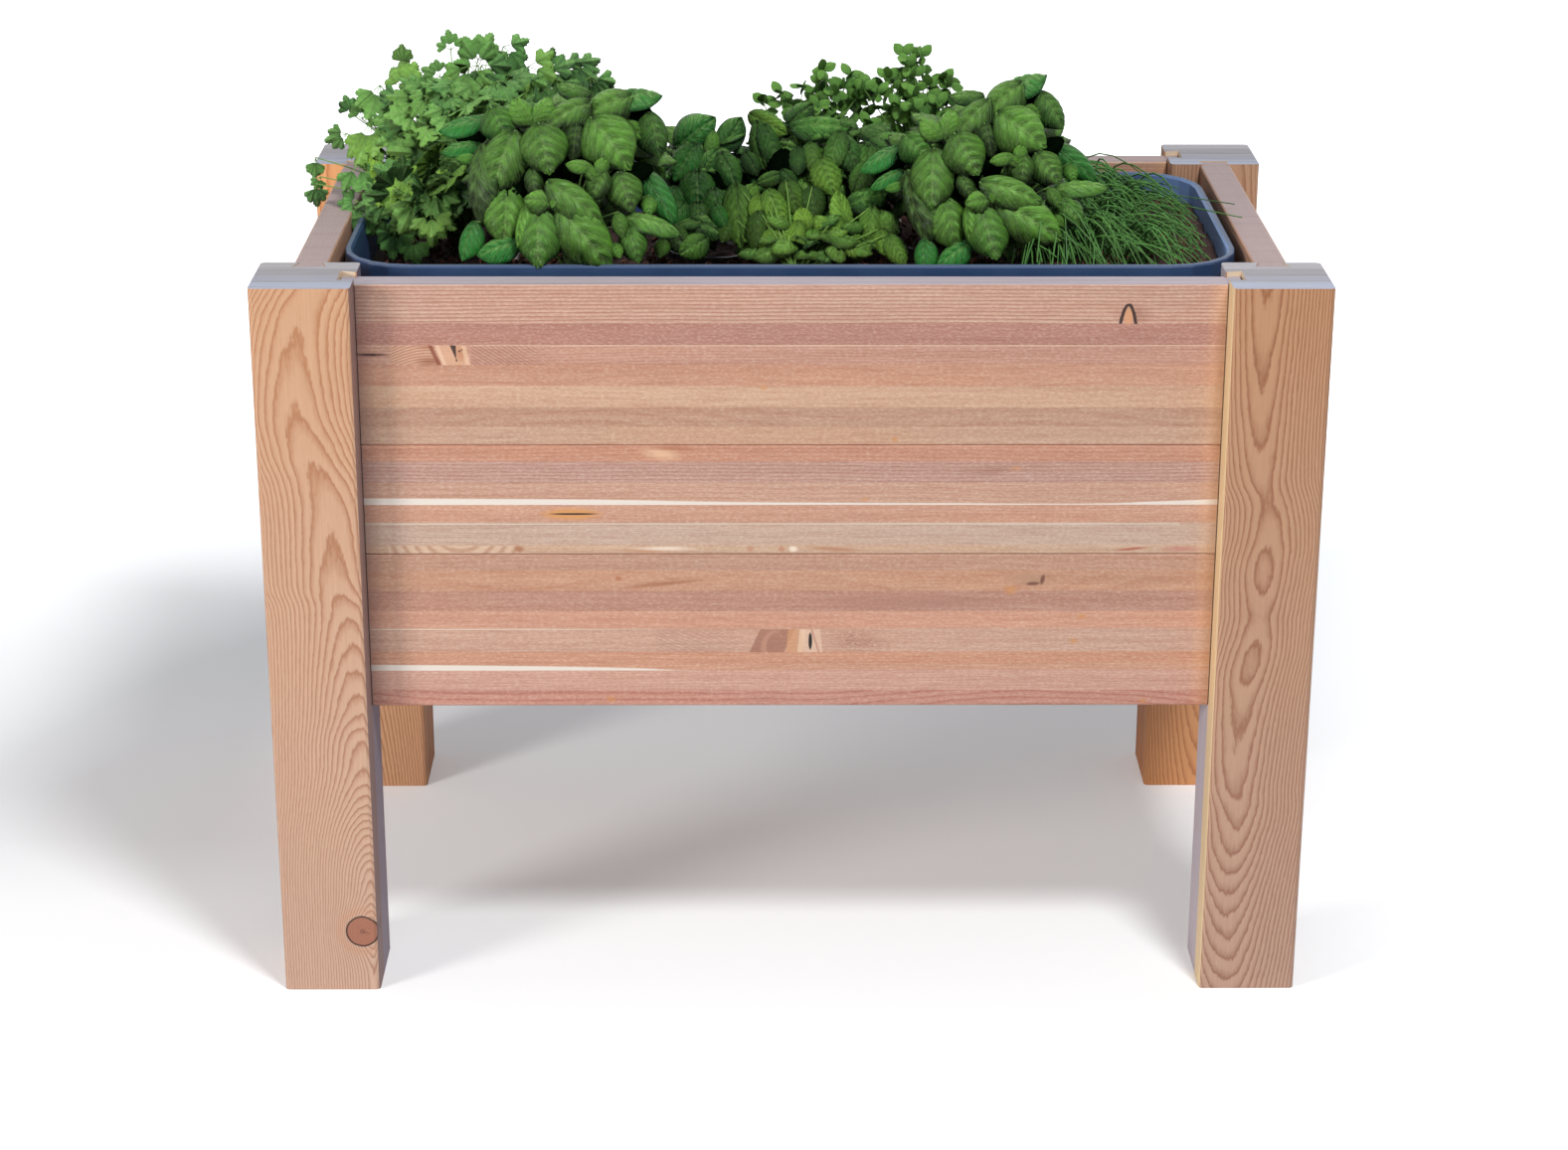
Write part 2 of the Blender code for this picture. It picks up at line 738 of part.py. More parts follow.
def add_planting_hole(soil, name, x, y, top_radius, base_radius, depth, top):
    """Cuts a tapered hole, open upwards, from the height top down to depth below it."""
    slope = (top_radius - base_radius) / depth
    grow = slope * CUTTER_OVERRUN
    mesh = frustum_mesh(
        name, top_radius + grow + SEAT_GAP, base_radius + SEAT_GAP, depth + CUTTER_OVERRUN, ROOT_SIDES
    )
    hole = add_cutter(name, mesh)
    hole.location = (x, y, top + CUTTER_OVERRUN - SEAT_GAP)
    cut(soil, hole)


def add_pot(soil, x, y):
    """A thin plastic pot sunk in the soil, open at the top and at a drain in its base."""
    slope = (POT_RADIUS - POT_BASE_RADIUS) / POT_HEIGHT
    under_rim = POT_RADIUS - POT_RIM_HEIGHT * slope
    rim_radius = POT_RADIUS + POT_RIM_WIDTH
    rim_bottom = POT_HEIGHT - POT_RIM_HEIGHT
    profile = [
        (rim_radius, POT_HEIGHT),
        (rim_radius, rim_bottom),
        (under_rim, rim_bottom),
        (POT_BASE_RADIUS, 0.0),
        (POT_DRAIN_RADIUS, 0.0),
        (POT_DRAIN_RADIUS, POT_WALL),
        (POT_BASE_RADIUS - POT_WALL, POT_WALL),
        (POT_RADIUS - POT_WALL, POT_HEIGHT),
    ]
    mesh = profile_mesh("nursery_pot", profile, closed=True)
    pot = add_object("nursery_pot", mesh, POT_PLASTIC, POT_ROUGHNESS)
    turn_profile(pot, POT_SIDES)
    bottom = soil_level(x, y) + POT_SHOW - POT_HEIGHT
    pot.location = (x, y, bottom)
    hole_profile = [
        (0.0, POT_HEIGHT + CUTTER_OVERRUN),
        (rim_radius + SEAT_GAP, POT_HEIGHT + CUTTER_OVERRUN),
        (rim_radius + SEAT_GAP, rim_bottom - SEAT_GAP),
        (under_rim + SEAT_GAP, rim_bottom - SEAT_GAP),
        (POT_BASE_RADIUS + SEAT_GAP, -SEAT_GAP),
        (0.0, -SEAT_GAP),
    ]
    hole = add_cutter("pot_hole", profile_mesh("pot_hole", hole_profile))
    turn_profile(hole, POT_SIDES)
    hole.location = pot.location
    cut(soil, hole)
    return bottom


# Herbs


class Site:
    """Where one herb grows. Its bed and plots are rectangles (low x, high x, low y, high y),
    given as shares of the tub's half length and half width; its leaves stay over the plots."""

    def __init__(self, bed, plots=(), lift=HEART_LIFT):
        self.bed = over_tub(bed)
        self.plots = [over_tub(plot) for plot in plots or (bed,)]
        low_x, high_x, low_y, high_y = self.bed
        self.x = (low_x + high_x) / 2
        self.y = (low_y + high_y) / 2
        self.half_x = (high_x - low_x) / 2
        self.half_y = (high_y - low_y) / 2
        self.lift = lift
        self.lowest = soil_level(self.x, self.y) + SOIL_RIPPLE + LEAF_CLEARANCE

    def holds(self, point):
        """True over the plots, above the soil there, and above the walls outside the tub."""
        in_tub = (
            abs(point.x) < TUB_HALF_X - wall_inset(self.lowest)
            and abs(point.y) < TUB_HALF_Y - wall_inset(self.lowest)
        )
        if point.z < (self.lowest if in_tub else HEIGHT + LEAF_CLEARANCE):
            return False
        return any(
            low_x + PLOT_MARGIN < point.x < high_x - PLOT_MARGIN
            and low_y + PLOT_MARGIN < point.y < high_y - PLOT_MARGIN
            for low_x, high_x, low_y, high_y in self.plots
        )

    def reach(self, root, share_x, share_y, height):
        """A point beside the root, at this height above the tub's rim."""
        x = root.x + share_x * self.half_x
        y = root.y + share_y * self.half_y
        return Vector((x, y, TUB_TOP + height))


def over_tub(shares):
    low_x, high_x, low_y, high_y = shares
    return (low_x * TUB_HALF_X, high_x * TUB_HALF_X, low_y * TUB_HALF_Y, high_y * TUB_HALF_Y)


def add_stem(bm, start, end, start_radius, end_radius):
    """A straight tapered stem; it reaches a little past both ends, to join what it meets."""
    direction = (end - start).normalized()
    start = start - direction * start_radius
    turn = Vector((0, 0, 1)).rotation_difference(direction).to_matrix().to_4x4()
    bmesh.ops.create_cone(
        bm,
        cap_ends=True,
        segments=STEM_SIDES,
        radius1=start_radius,
        radius2=end_radius,
        depth=(end - start).length,
        matrix=Matrix.Translation((start + end) / 2) @ turn,
    )


def oval_outline(angle):
    """A basil-like leaf: along runs 0 to 1, across -0.5 to 0.5."""
    along = (1.0 - math.cos(angle)) / 2
    across = -math.sin(angle) / 2 * (1.0 + OVAL_BELLY * math.cos(angle))
    return along, across


def lobed_outline(angle):
    """A parsley-like leaf with three deep lobes, and a wedge that runs to its stalk."""
    reach = LOBE_REACH + LOBE_SWING * math.cos(LOBE_TURNS * angle)
    return 1 / 2 - reach * math.cos(angle), -reach * math.sin(angle)


# Each leaf's outline, sides, greatest thickness, cup across it and droop along it
BASIL_LEAF = (oval_outline, LEAF_SIDES, 0.0030, 0.18, 0.30)
BALM_LEAF = (oval_outline, LEAF_SIDES, 0.0026, 0.10, 0.15)
OREGANO_LEAF = (oval_outline, LEAF_SIDES, 0.0024, 0.05, 0.10)
PARSLEY_LEAF = (lobed_outline, LOBED_LEAF_SIDES, 0.0026, 0.0, 0.12)


def leaf_points(base, direction, normal, length, width, shape):
    """The points on a leaf's edge, the middle of the leaf, and the way its face looks."""
    outline, sides, _, cup, droop = shape
    across = normal.cross(direction).normalized()
    up = direction.cross(across).normalized()
    edge = []
    for step in range(sides):
        along, aside = outline(2 * math.pi * step / sides)
        rise = cup * (2 * aside) ** 2 * width - droop * along**2 * length
        edge.append(base + direction * along * length + across * aside * width + up * rise)
    middle = base + direction * length / 2 - up * droop * length / 4
    return edge, middle, up


def add_leaf(bm, site, base, direction, normal, length, breadth, shape):
    """A thin leaf, thickest in the middle. It is smaller, or left out, near its neighbours."""
    for shrink in LEAF_SHRINKS:
        size = length * shrink
        edge, middle, up = leaf_points(base, direction, normal, size, size * breadth, shape)
        if all(site.holds(point) for point in edge):
            break
    else:
        return
    _, sides, thickness, _, _ = shape
    made = bmesh.ops.create_uvsphere(bm, u_segments=sides, v_segments=2, radius=1.0)["verts"]
    rim = sorted(
        (vert for vert in made if abs(vert.co.z) < 1 / 2),
        key=lambda vert: math.atan2(vert.co.y, vert.co.x) % FULL_TURN,
    )
    for vert, point in zip(rim, edge):
        vert.co = point
    for vert in made:
        if vert not in rim:
            vert.co = middle + up * math.copysign(thickness / 2, vert.co.z)


def direction_of(azimuth, rise):
    """A unit vector at these angles in radians: azimuth from +X, rise above the ground."""
    flat = math.cos(rise)
    return Vector((flat * math.cos(azimuth), flat * math.sin(azimuth), math.sin(rise)))


def add_herb(name, site, top, root_radius, root_depth, colour, build):
    """A root ball and what grows from it, joined into one closed solid."""
    root_mesh = frustum_mesh(name, root_radius, root_radius * ROOT_TAPER, root_depth, ROOT_SIDES)
    herb = add_object(name, root_mesh, colour, LEAF_ROUGHNESS)
    herb.location = (site.x, site.y, top)
    bm = bmesh.new()
    build(bm, site, Vector((site.x, site.y, top)))
    growth = add_cutter(name + "_growth", mesh_from(bm, name + "_growth", recalculate=False))
    join(herb, growth)
    bpy.context.view_layer.update()
    keep_main_body(herb)


def heart_of(site, root, half_height):
    """The middle and the radii of a bush's heart."""
    centre = root + Vector((0.0, 0.0, site.lift + half_height))
    return centre, Vector((site.half_x * HEART_SHARE, site.half_y * HEART_SHARE, half_height))


def add_heart(bm, root, centre, radii):
    """The crowded inside of a bush, as one rounded mass on a short trunk."""
    foot = root - Vector((0.0, 0.0, 2 * TRUNK_RADIUS))
    add_stem(bm, foot, centre, TRUNK_RADIUS, TRUNK_RADIUS * STEM_TAPER)
    bmesh.ops.create_icosphere(
        bm,
        subdivisions=HEART_STEPS,
        radius=1.0,
        matrix=Matrix.Translation(centre) @ Matrix.Diagonal((*radii, 1.0)),
    )


def cover_heart(bm, site, centre, radii, count, leaf, breadth, shape, rng):
    """Leaves that lie like shingles round the heart, and stand up at its top."""
    lowest = math.sin(LOWEST_LEAF_RISE)
    highest = math.sin(HIGHEST_LEAF_RISE)
    for index in range(count):
        share = (index + 1 / 2) / count
        lift = math.asin(lowest + (highest - lowest) * share)
        azimuth = index * GOLDEN_ANGLE + rng.uniform(-LEAF_TURN_PLAY, LEAF_TURN_PLAY)
        outward = direction_of(azimuth, lift)
        foot = centre + outward * radii * LEAF_FOOT
        rise = lift * LEAF_RISE_SHARE - LEAF_RISE_DROP
        direction = direction_of(azimuth, rise + rng.uniform(-LEAF_RISE_PLAY, LEAF_RISE_PLAY))
        normal = (outward + Vector((0.0, 0.0, LEAF_FACE_UP))).normalized()
        add_leaf(bm, site, foot, direction, normal, leaf, breadth, shape)


def bush_builder(half_height, count, leaf, shape, seed):
    """A dense bush of broad leaves."""

    def build(bm, site, root):
        centre, radii = heart_of(site, root, half_height)
        add_heart(bm, root, centre, radii)
        rng = random.Random(seed)
        cover_heart(bm, site, centre, radii, count, leaf, LEAF_BREADTH, shape, rng)

    return build


def parsley_builder(half_height, count, leaf, stalks, seed):
    """A low crowded heart, and thin stalks above it that fork, each fork with a lobed leaf."""

    def build(bm, site, root):
        centre, radii = heart_of(site, root, half_height)
        add_heart(bm, root, centre, radii)
        rng = random.Random(seed)
        cover_heart(bm, site, centre, radii, count, leaf, 1.0, PARSLEY_LEAF, rng)
        for share_x, share_y, height in stalks:
            tip = site.reach(root, share_x, share_y, height)
            fork = centre.lerp(tip, FORK_SHARE)
            add_stem(bm, centre, fork, STEM_RADIUS, STEM_RADIUS * FORK_TAPER)
            add_stem(bm, fork, tip, STEM_RADIUS * FORK_TAPER, STEM_RADIUS * STEM_TAPER)
            heading = math.atan2(share_y, share_x)
            for place, turn in FORK_LEAVES:
                play = rng.uniform(-FORK_TURN_PLAY, FORK_TURN_PLAY)
                direction = direction_of(heading + turn + play, FORK_LEAF_RISE)
                play = rng.uniform(-FORK_FACE_PLAY, FORK_FACE_PLAY)
                normal = direction_of(heading - math.pi / 2 + play, FORK_FACE_RISE)
                start = fork.lerp(tip, place) - direction * STEM_RADIUS
                add_leaf(bm, site, start, direction, normal, leaf, 1.0, PARSLEY_LEAF)

    return build


def oregano_builder(tips, pairs, leaf, seed):
    """A loose plant: upright stems that spread from one root, with leaves in opposite pairs."""

    def build(bm, site, root):
        rng = random.Random(seed)
        for stem, (share_x, share_y, height) in enumerate(tips):
            tip = site.reach(root, share_x, share_y, height)
            foot = root.lerp(tip, STEM_FOOT_SHARE)
            foot.z -= ROOT_SINK + 2 * TRUNK_RADIUS
            add_stem(bm, foot, tip, STEM_RADIUS, STEM_RADIUS * STEM_TAPER)
            for index in range(pairs):
                share = LOWEST_PAIR + (HIGHEST_PAIR - LOWEST_PAIR) * index / (pairs - 1)
                azimuth = stem * STEM_TURN + index * math.pi / 2
                for side in (0.0, math.pi):
                    heading = azimuth + side + rng.uniform(-PAIR_TURN_PLAY, PAIR_TURN_PLAY)
                    direction = direction_of(heading, PAIR_RISE + PAIR_RISE_GROWTH * share)
                    normal = ((tip - foot).normalized() + direction * PAIR_LEAN).normalized()
                    start = foot.lerp(tip, share) - direction * STEM_RADIUS
                    size = leaf * (1.0 - PAIR_SHRINK * index / pairs)
                    add_leaf(bm, site, start, direction, normal, size, LEAF_BREADTH, OREGANO_LEAF)

    return build


def rosette_builder(crown_height, rings, leaf, seed):
    """A low plant whose leaves all rise from one short crown, each a little above the last."""

    def build(bm, site, root):
        rng = random.Random(seed)
        foot = root - Vector((0.0, 0.0, 2 * TRUNK_RADIUS))
        crown = root + Vector((0.0, 0.0, crown_height))
        add_stem(bm, foot, crown, TRUNK_RADIUS * CROWN_SWELL, TRUNK_RADIUS)
        leaves = sum(count for count, _ in rings)
        placed = 0
        for ring, (count, rise) in enumerate(rings):
            for index in range(count):
                azimuth = 2 * math.pi * (index + ring / 2) / count
                azimuth += rng.uniform(-CROWN_TURN_PLAY, CROWN_TURN_PLAY)
                direction = direction_of(azimuth, rise)
                normal = direction_of(azimuth + math.pi, math.pi / 2 - rise)
                place = CROWN_START + CROWN_SPREAD * placed / leaves
                start = root.lerp(crown, place) - direction * STEM_RADIUS
                add_leaf(bm, site, start, direction, normal, leaf, LEAF_BREADTH, BASIL_LEAF)
                placed += 1

    return build


def chive_builder(blades, shortest, longest, seed):
    """Slender blades that lean to the right, bend and hang at their ends."""

    def build(bm, site, root):
        rng = random.Random(seed)
        for index in range(blades):
            azimuth = FAN_START + FAN_SPREAD * index / (blades - 1)
            length = rng.uniform(shortest, longest)
            foot_turn = index * GOLDEN_ANGLE
            foot = root + direction_of(foot_turn, 0.0) * FAN_FOOT
            foot.z -= 2 * TRUNK_RADIUS
            points = [foot]
            for share, rise in BLADE_PIECES:
                points.append(points[-1] + direction_of(azimuth, rise) * length * share)
            if not all(site.holds(point) for point in points[2:]):
                continue
            radius = BLADE_RADIUS
            for start, end in zip(points, points[1:]):
                add_stem(bm, start, end, radius, radius * BLADE_TAPER)
                radius *= BLADE_TAPER

    return build


POTTED_LIFT = POT_HEIGHT - POT_WALL - POTTED_ROOT_DEPTH + HEART_LIFT
POTTED_SITE = Site((-0.293, -0.060, -0.285, 0.363), lift=POTTED_LIFT)

# Name, site, root radius, colour and what grows there
HERBS = (
    (
        "parsley",
        Site(
            (-0.955, -0.610, -0.05, 0.88),
            plots=((-1.133, -0.758, -0.62, 0.97), (-0.763, -0.300, 0.0, 0.97)),
        ),
        0.034,
        PARSLEY_GREEN,
        parsley_builder(
            half_height=0.056,
            count=16,
            leaf=0.062,
            stalks=(
                (0.12, 0.00, 0.176), (-0.62, 0.32, 0.136), (-1.20, 0.10, 0.090),
                (-1.00, -0.74, 0.050), (0.95, 0.20, 0.170), (1.80, 0.37, 0.136),
                (-0.25, 0.70, 0.150), (-1.00, 0.75, 0.080), (1.40, 0.50, 0.090),
            ),
            seed=3,
        ),
    ),
    (
        "basil_left",
        Site((-0.751, -0.240, -0.950, -0.010)),
        0.034,
        BASIL_GREEN,
        bush_builder(half_height=0.070, count=24, leaf=0.066, shape=BASIL_LEAF, seed=7),
    ),
    (
        "lemon_balm",
        Site((-0.056, 0.237, -0.300, 0.363)),
        0.028,
        BALM_GREEN,
        bush_builder(half_height=0.060, count=14, leaf=0.046, shape=BALM_LEAF, seed=11),
    ),
    (
        "salad_rosette",
        Site((-0.214, 0.237, -0.907, -0.311)),
        0.028,
        BALM_GREEN,
        rosette_builder(crown_height=0.032, rings=((6, 0.30), (5, 0.85)), leaf=0.062, seed=5),
    ),
    (
        "oregano_left",
        Site((-0.128, 0.202, 0.373, 0.958)),
        0.026,
        OREGANO_GREEN,
        oregano_builder(
            tips=((-0.50, 0.05, 0.125), (0.10, 0.00, 0.148)), pairs=3, leaf=0.030, seed=13
        ),
    ),
    (
        "oregano_right",
        Site((0.207, 0.460, 0.373, 0.958)),
        0.026,
        OREGANO_GREEN,
        oregano_builder(
            tips=((-0.40, 0.05, 0.140), (0.30, 0.00, 0.166)), pairs=3, leaf=0.030, seed=17
        ),
    ),
    (
        "basil_right",
        Site((0.242, 0.774, -0.950, 0.352)),
        0.036,
        BASIL_GREEN,
        bush_builder(half_height=0.072, count=28, leaf=0.068, shape=BASIL_LEAF, seed=19),
    ),
    (
        "chives",
        Site(
            (0.700, 0.860, 0.40, 0.64),
            plots=((0.470, 1.030, 0.373, 0.963), (0.781, 1.030, -0.83, 0.383)),
        ),
        0.024,
        CHIVE_GREEN,
        chive_builder(blades=16, shortest=0.105, longest=0.165, seed=23),
    ),
)


def add_herbs(soil, pot_bottom):
    for name, site, root_radius, colour, build in HERBS:
        top = soil_level(site.x, site.y) - ROOT_SINK
        add_herb(name, site, top, root_radius, ROOT_DEPTH, colour, build)
        add_planting_hole(
            soil,
            name + "_hole",
            site.x,
            site.y,
            root_radius,
            root_radius * ROOT_TAPER,
            ROOT_DEPTH,
            top,
        )
    potted_top = pot_bottom + POT_WALL + SEAT_GAP + POTTED_ROOT_DEPTH
    add_herb(
        "basil_small",
        POTTED_SITE,
        potted_top,
        POT_BASE_RADIUS,
        POTTED_ROOT_DEPTH,
        BASIL_GREEN,
        bush_builder(half_height=0.055, count=12, leaf=0.044, shape=BASIL_LEAF, seed=29),
    )


walls = add_frame()
add_floor(walls)
add_tub()
soil = add_soil()
pot_bottom = add_pot(soil, POTTED_SITE.x, POTTED_SITE.y)
add_herbs(soil, pot_bottom)
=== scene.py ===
"""Looks of the raised planter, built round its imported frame.

Metres, +Z up, X along the planter, the front faces -Y. The wooden frame, tub, pot and screws
are the frame's own nodes with procedural materials. Soil and herbs are modelled here.
"""

import math
import random

import bpy
from mathutils import Euler, Matrix, Vector, noise


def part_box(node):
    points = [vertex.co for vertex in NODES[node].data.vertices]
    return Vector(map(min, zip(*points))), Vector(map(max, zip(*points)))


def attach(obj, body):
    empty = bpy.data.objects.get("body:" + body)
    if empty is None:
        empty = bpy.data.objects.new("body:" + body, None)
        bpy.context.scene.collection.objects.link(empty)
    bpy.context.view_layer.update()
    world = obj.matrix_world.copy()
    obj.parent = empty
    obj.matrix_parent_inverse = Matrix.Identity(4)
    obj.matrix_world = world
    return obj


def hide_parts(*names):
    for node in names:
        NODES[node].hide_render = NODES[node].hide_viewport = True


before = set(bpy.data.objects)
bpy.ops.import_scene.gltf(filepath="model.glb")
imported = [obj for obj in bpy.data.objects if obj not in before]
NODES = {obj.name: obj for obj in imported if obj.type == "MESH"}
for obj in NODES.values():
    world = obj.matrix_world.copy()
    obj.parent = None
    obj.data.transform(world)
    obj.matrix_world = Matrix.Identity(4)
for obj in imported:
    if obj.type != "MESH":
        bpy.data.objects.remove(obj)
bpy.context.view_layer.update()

# Camera, solved from the corners of the posts
LENS_MM = 75.97
SENSOR_MM = 36.0
CAMERA_PLACE = (-0.0314, -3.2329, 1.5257)
CAMERA_YAW = math.radians(-0.478)
CAMERA_PITCH = math.radians(20.315)
CAMERA_ROLL = math.radians(0.130)


def linear(red, green, blue):
    """A colour from 0 to 255 as it shows on a screen, as linear values with an alpha."""
    channels = []
    for value in (red, green, blue):
        value /= 255
        channels.append(value / 12.92 if value < 0.04045 else ((value + 0.055) / 1.055) ** 2.4)
    return (*channels, 1.0)


def add_camera():
    data = bpy.data.cameras.new("camera")
    data.lens = LENS_MM
    data.sensor_width = SENSOR_MM
    data.clip_end = 50.0
    camera = bpy.data.objects.new("camera", data)
    bpy.context.scene.collection.objects.link(camera)
    turn = Matrix.Rotation(CAMERA_YAW, 3, "Z")
    turn = turn @ Matrix.Rotation(math.pi / 2 - CAMERA_PITCH, 3, "X")
    turn = turn @ Matrix.Rotation(CAMERA_ROLL, 3, "Z")
    camera.location = CAMERA_PLACE
    camera.rotation_euler = turn.to_euler()
    bpy.context.scene.camera = camera


def add_area_light(name, place, target, size, power, colour):
    data = bpy.data.lights.new(name, "AREA")
    data.shape = "DISK"
    data.size = size
    data.energy = power
    data.color = colour
    lamp = bpy.data.objects.new(name, data)
    bpy.context.scene.collection.objects.link(lamp)
    lamp.location = place
    aim = Vector(target) - Vector(place)
    lamp.rotation_euler = aim.to_track_quat("-Z", "Y").to_euler()


def as_colour(value):
    """Linear values with an alpha, from a grey, a screen colour or four values as they are."""
    if isinstance(value, float):
        return (value, value, value, 1.0)
    return linear(*value) if len(value) == 3 else value


class Value:
    """What a node gives out. Arithmetic on it adds math nodes."""

    def __init__(self, graph, socket):
        self.graph = graph
        self.socket = socket

    def __add__(self, other):
        return self.graph.math("ADD", self, other)

    def __radd__(self, other):
        return self.graph.math("ADD", other, self)

    def __sub__(self, other):
        return self.graph.math("SUBTRACT", self, other)

    def __rsub__(self, other):
        return self.graph.math("SUBTRACT", other, self)

    def __mul__(self, other):
        return self.graph.math("MULTIPLY", self, other)

    def __truediv__(self, other):
        return self.graph.math("DIVIDE", self, other)

    def __abs__(self):
        return self.graph.math("ABSOLUTE", self)


# Colour sockets of the mix node, which has more pairs for other kinds of value
MIX_FIRST = 6
MIX_SECOND = 7
MIX_RESULT = 2


class Graph:
    """A material's node tree, written as expressions of numbers, screen colours and values."""

    def __init__(self, name):
        self.material = bpy.data.materials.new(name)
        self.material.use_nodes = True
        self.tree = self.material.node_tree
        self.shader = self.tree.nodes["Principled BSDF"]
        self.point = self.output("ShaderNodeTexCoord", {}, "Object")

    def feed(self, socket, value):
        if isinstance(value, Value):
            self.tree.links.new(value.socket, socket)
        else:
            socket.default_value = as_colour(value) if socket.type == "RGBA" else value

    def output(self, kind, inputs, output=0, **settings):
        """One output of a new node; inputs are fed by name or number."""
        made = self.tree.nodes.new(kind)
        for key, value in settings.items():
            setattr(made, key, value)
        for place, value in inputs.items():
            self.feed(made.inputs[place], value)
        return Value(self, made.outputs[output])

    def math(self, operation, first, second=0.0, clamp=False):
        return self.output("ShaderNodeMath", {0: first, 1: second}, operation=operation, use_clamp=clamp)

    def rise(self, value, start, width):
        """0 up to start, then rising to 1 over this width."""
        return self.math("DIVIDE", value - start, width, clamp=True)

    def between(self, value, low, high, edge):
        """1 from low to high, with soft edges this wide."""
        return self.math("MINIMUM", self.rise(value, low, edge), self.rise(high, value, edge))

    def distance(self, x, y):
        return self.math("SQRT", x * x + y * y)

    def fraction(self, value):
        return self.math("FRACT", value)

    def wave(self, turn):
        """A sine wave that swings from 0 to 1."""
        return self.math("SINE", turn) * 0.5 + 0.5

    def split(self, vector, kind="ShaderNodeSeparateXYZ"):
        """The three parts of a vector, or of a colour with that kind of node."""
        made = self.tree.nodes.new(kind)
        self.feed(made.inputs[0], vector)
        return [Value(self, socket) for socket in made.outputs[:3]]

    def facing(self, axis):
        """How far the surface looks along an axis, from -1 to 1."""
        return self.split(self.output("ShaderNodeNewGeometry", {}, "Normal"))[axis]

    def marks(self, layer):
        """What a mesh holds at its points in this layer."""
        return self.split(self.output("ShaderNodeUVMap", {}, "UV", uv_map=layer))

    def join(self, x, y, z):
        return self.output("ShaderNodeCombineXYZ", {0: x, 1: y, 2: z})

    def vector(self, operation, first, second):
        return self.output("ShaderNodeVectorMath", {0: first, 1: second}, operation=operation)

    def noise(self, vector, scale, detail=2.0, roughness=0.5, distortion=0.0):
        inputs = {"Vector": vector, "Scale": scale, "Detail": detail, "Roughness": roughness,
                  "Distortion": distortion}
        return self.output("ShaderNodeTexNoise", inputs, "Fac")

    def grain(self, factors, *looks):
        """Noise that is stretched by a factor for each axis."""
        return self.noise(self.vector("MULTIPLY", self.point, factors), 1.0, *looks)

    def ramp(self, value, stops, mode="LINEAR"):
        """stops are (position, colour or grey)."""
        made = self.tree.nodes.new("ShaderNodeValToRGB")
        made.color_ramp.interpolation = mode
        points = made.color_ramp.elements
        while len(points) < len(stops):
            points.new(1.0)
        for point, (place, colour) in zip(points, stops):
            point.position = place
            point.color = as_colour(colour)
        self.feed(made.inputs[0], value)
        return Value(self, made.outputs["Color"])

    def curve(self, value, low, high, points):
        """A smooth curve through (x, y) points, for x from low to high."""
        reach = max(y for _, y in points)
        made = self.tree.nodes.new("ShaderNodeFloatCurve")
        line = made.mapping.curves[0]
        while len(line.points) < len(points):
            line.points.new(0.5, 0.5)
        for point, (x, y) in zip(line.points, points):
            point.location = ((x - low) / (high - low), y / reach)
        made.mapping.update()
        self.feed(made.inputs["Value"], self.rise(value, low, high - low))
        return Value(self, made.outputs[0]) * reach

    def mix(self, factor, first, second, blend="MIX"):
        inputs = {0: factor, MIX_FIRST: first, MIX_SECOND: second}
        return self.output("ShaderNodeMix", inputs, MIX_RESULT, data_type="RGBA", blend_type=blend)

    def top_mask(self):
        """1 on faces that look up."""
        return self.rise(self.facing(2), 0.85, 0.1)

    def finish(self, colour, roughness, height=None, distance=0.0, metallic=0.0):
        """Feeds the shader; height makes a bump this deep."""
        self.feed(self.shader.inputs["Base Color"], colour)
        self.feed(self.shader.inputs["Roughness"], roughness)
        self.feed(self.shader.inputs["Metallic"], metallic)
        if height is not None:
            inputs = {"Distance": distance, "Strength": 1.0, "Height": height}
            self.feed(self.shader.inputs["Normal"], self.output("ShaderNodeBump", inputs))
        return self.material


# Brightness that the camera sees on the floor beside its lamplight, and where it changes
FLOOR_GLOW = 0.215
NEAR_FLOOR = 0.93
FLOOR_FADE = 1.0
FLOOR_SIZE = 40.0
FLOOR_GAP = 0.0002
FLOOR_GREY = (238, 238, 238)
# RIGHT_GLOW: from here to the right the floor glows more. This is painted light that washes out the side
# lamp's shadow.
RIGHT_GLOW = 0.45
POST_OUTSIDE = 0.48
# LEFT_SHADE: less glow left of the planter, behind its front. This is a painted shadow that deepens the
# planter's shadow there.
LEFT_SHADE = 0.085
LEFT_SHADE_START = 0.10
LEFT_SHADE_BLEND = 0.16
AMBIENT_COLOUR = (0.80, 0.88, 1.0, 1.0)
AMBIENT_LEVEL = 0.28


def add_floor():
    """A pale floor that keeps a soft shadow, deepened by painted shadow on the left and washed out by
    painted light on the right.
    """
    bpy.ops.mesh.primitive_plane_add(size=FLOOR_SIZE, location=(0.0, 0.0, -FLOOR_GAP))
    floor = bpy.context.object
    floor.name = "floor"
    graph = Graph("floor")
    graph.finish(FLOOR_GREY, 0.9)
    x, y, _ = graph.split(graph.point)
    far = graph.rise(graph.distance(x, y), NEAR_FLOOR, FLOOR_FADE)
    # Painted light: more glow on the right side of the floor.
    right = graph.rise(x, RIGHT_GLOW, FLOOR_FADE)
    level = FLOOR_GLOW + graph.math("MAXIMUM", far, right)
    # Painted shadow: the glow is lowered on the left, behind the front.
    left = graph.rise(-POST_OUTSIDE, x, LEFT_SHADE_BLEND)
    behind = graph.rise(y, -LEFT_SHADE_START, LEFT_SHADE_BLEND)
    level = level - left * behind * LEFT_SHADE
    to_camera = graph.output("ShaderNodeLightPath", {}, "Is Camera Ray")
    glow = graph.output("ShaderNodeEmission", {"Strength": to_camera * level})
    lit = Value(graph, graph.shader.outputs[0])
    both = graph.output("ShaderNodeAddShader", {0: lit, 1: glow})
    graph.feed(graph.tree.nodes["Material Output"].inputs["Surface"], both)
    floor.data.materials.append(graph.material)


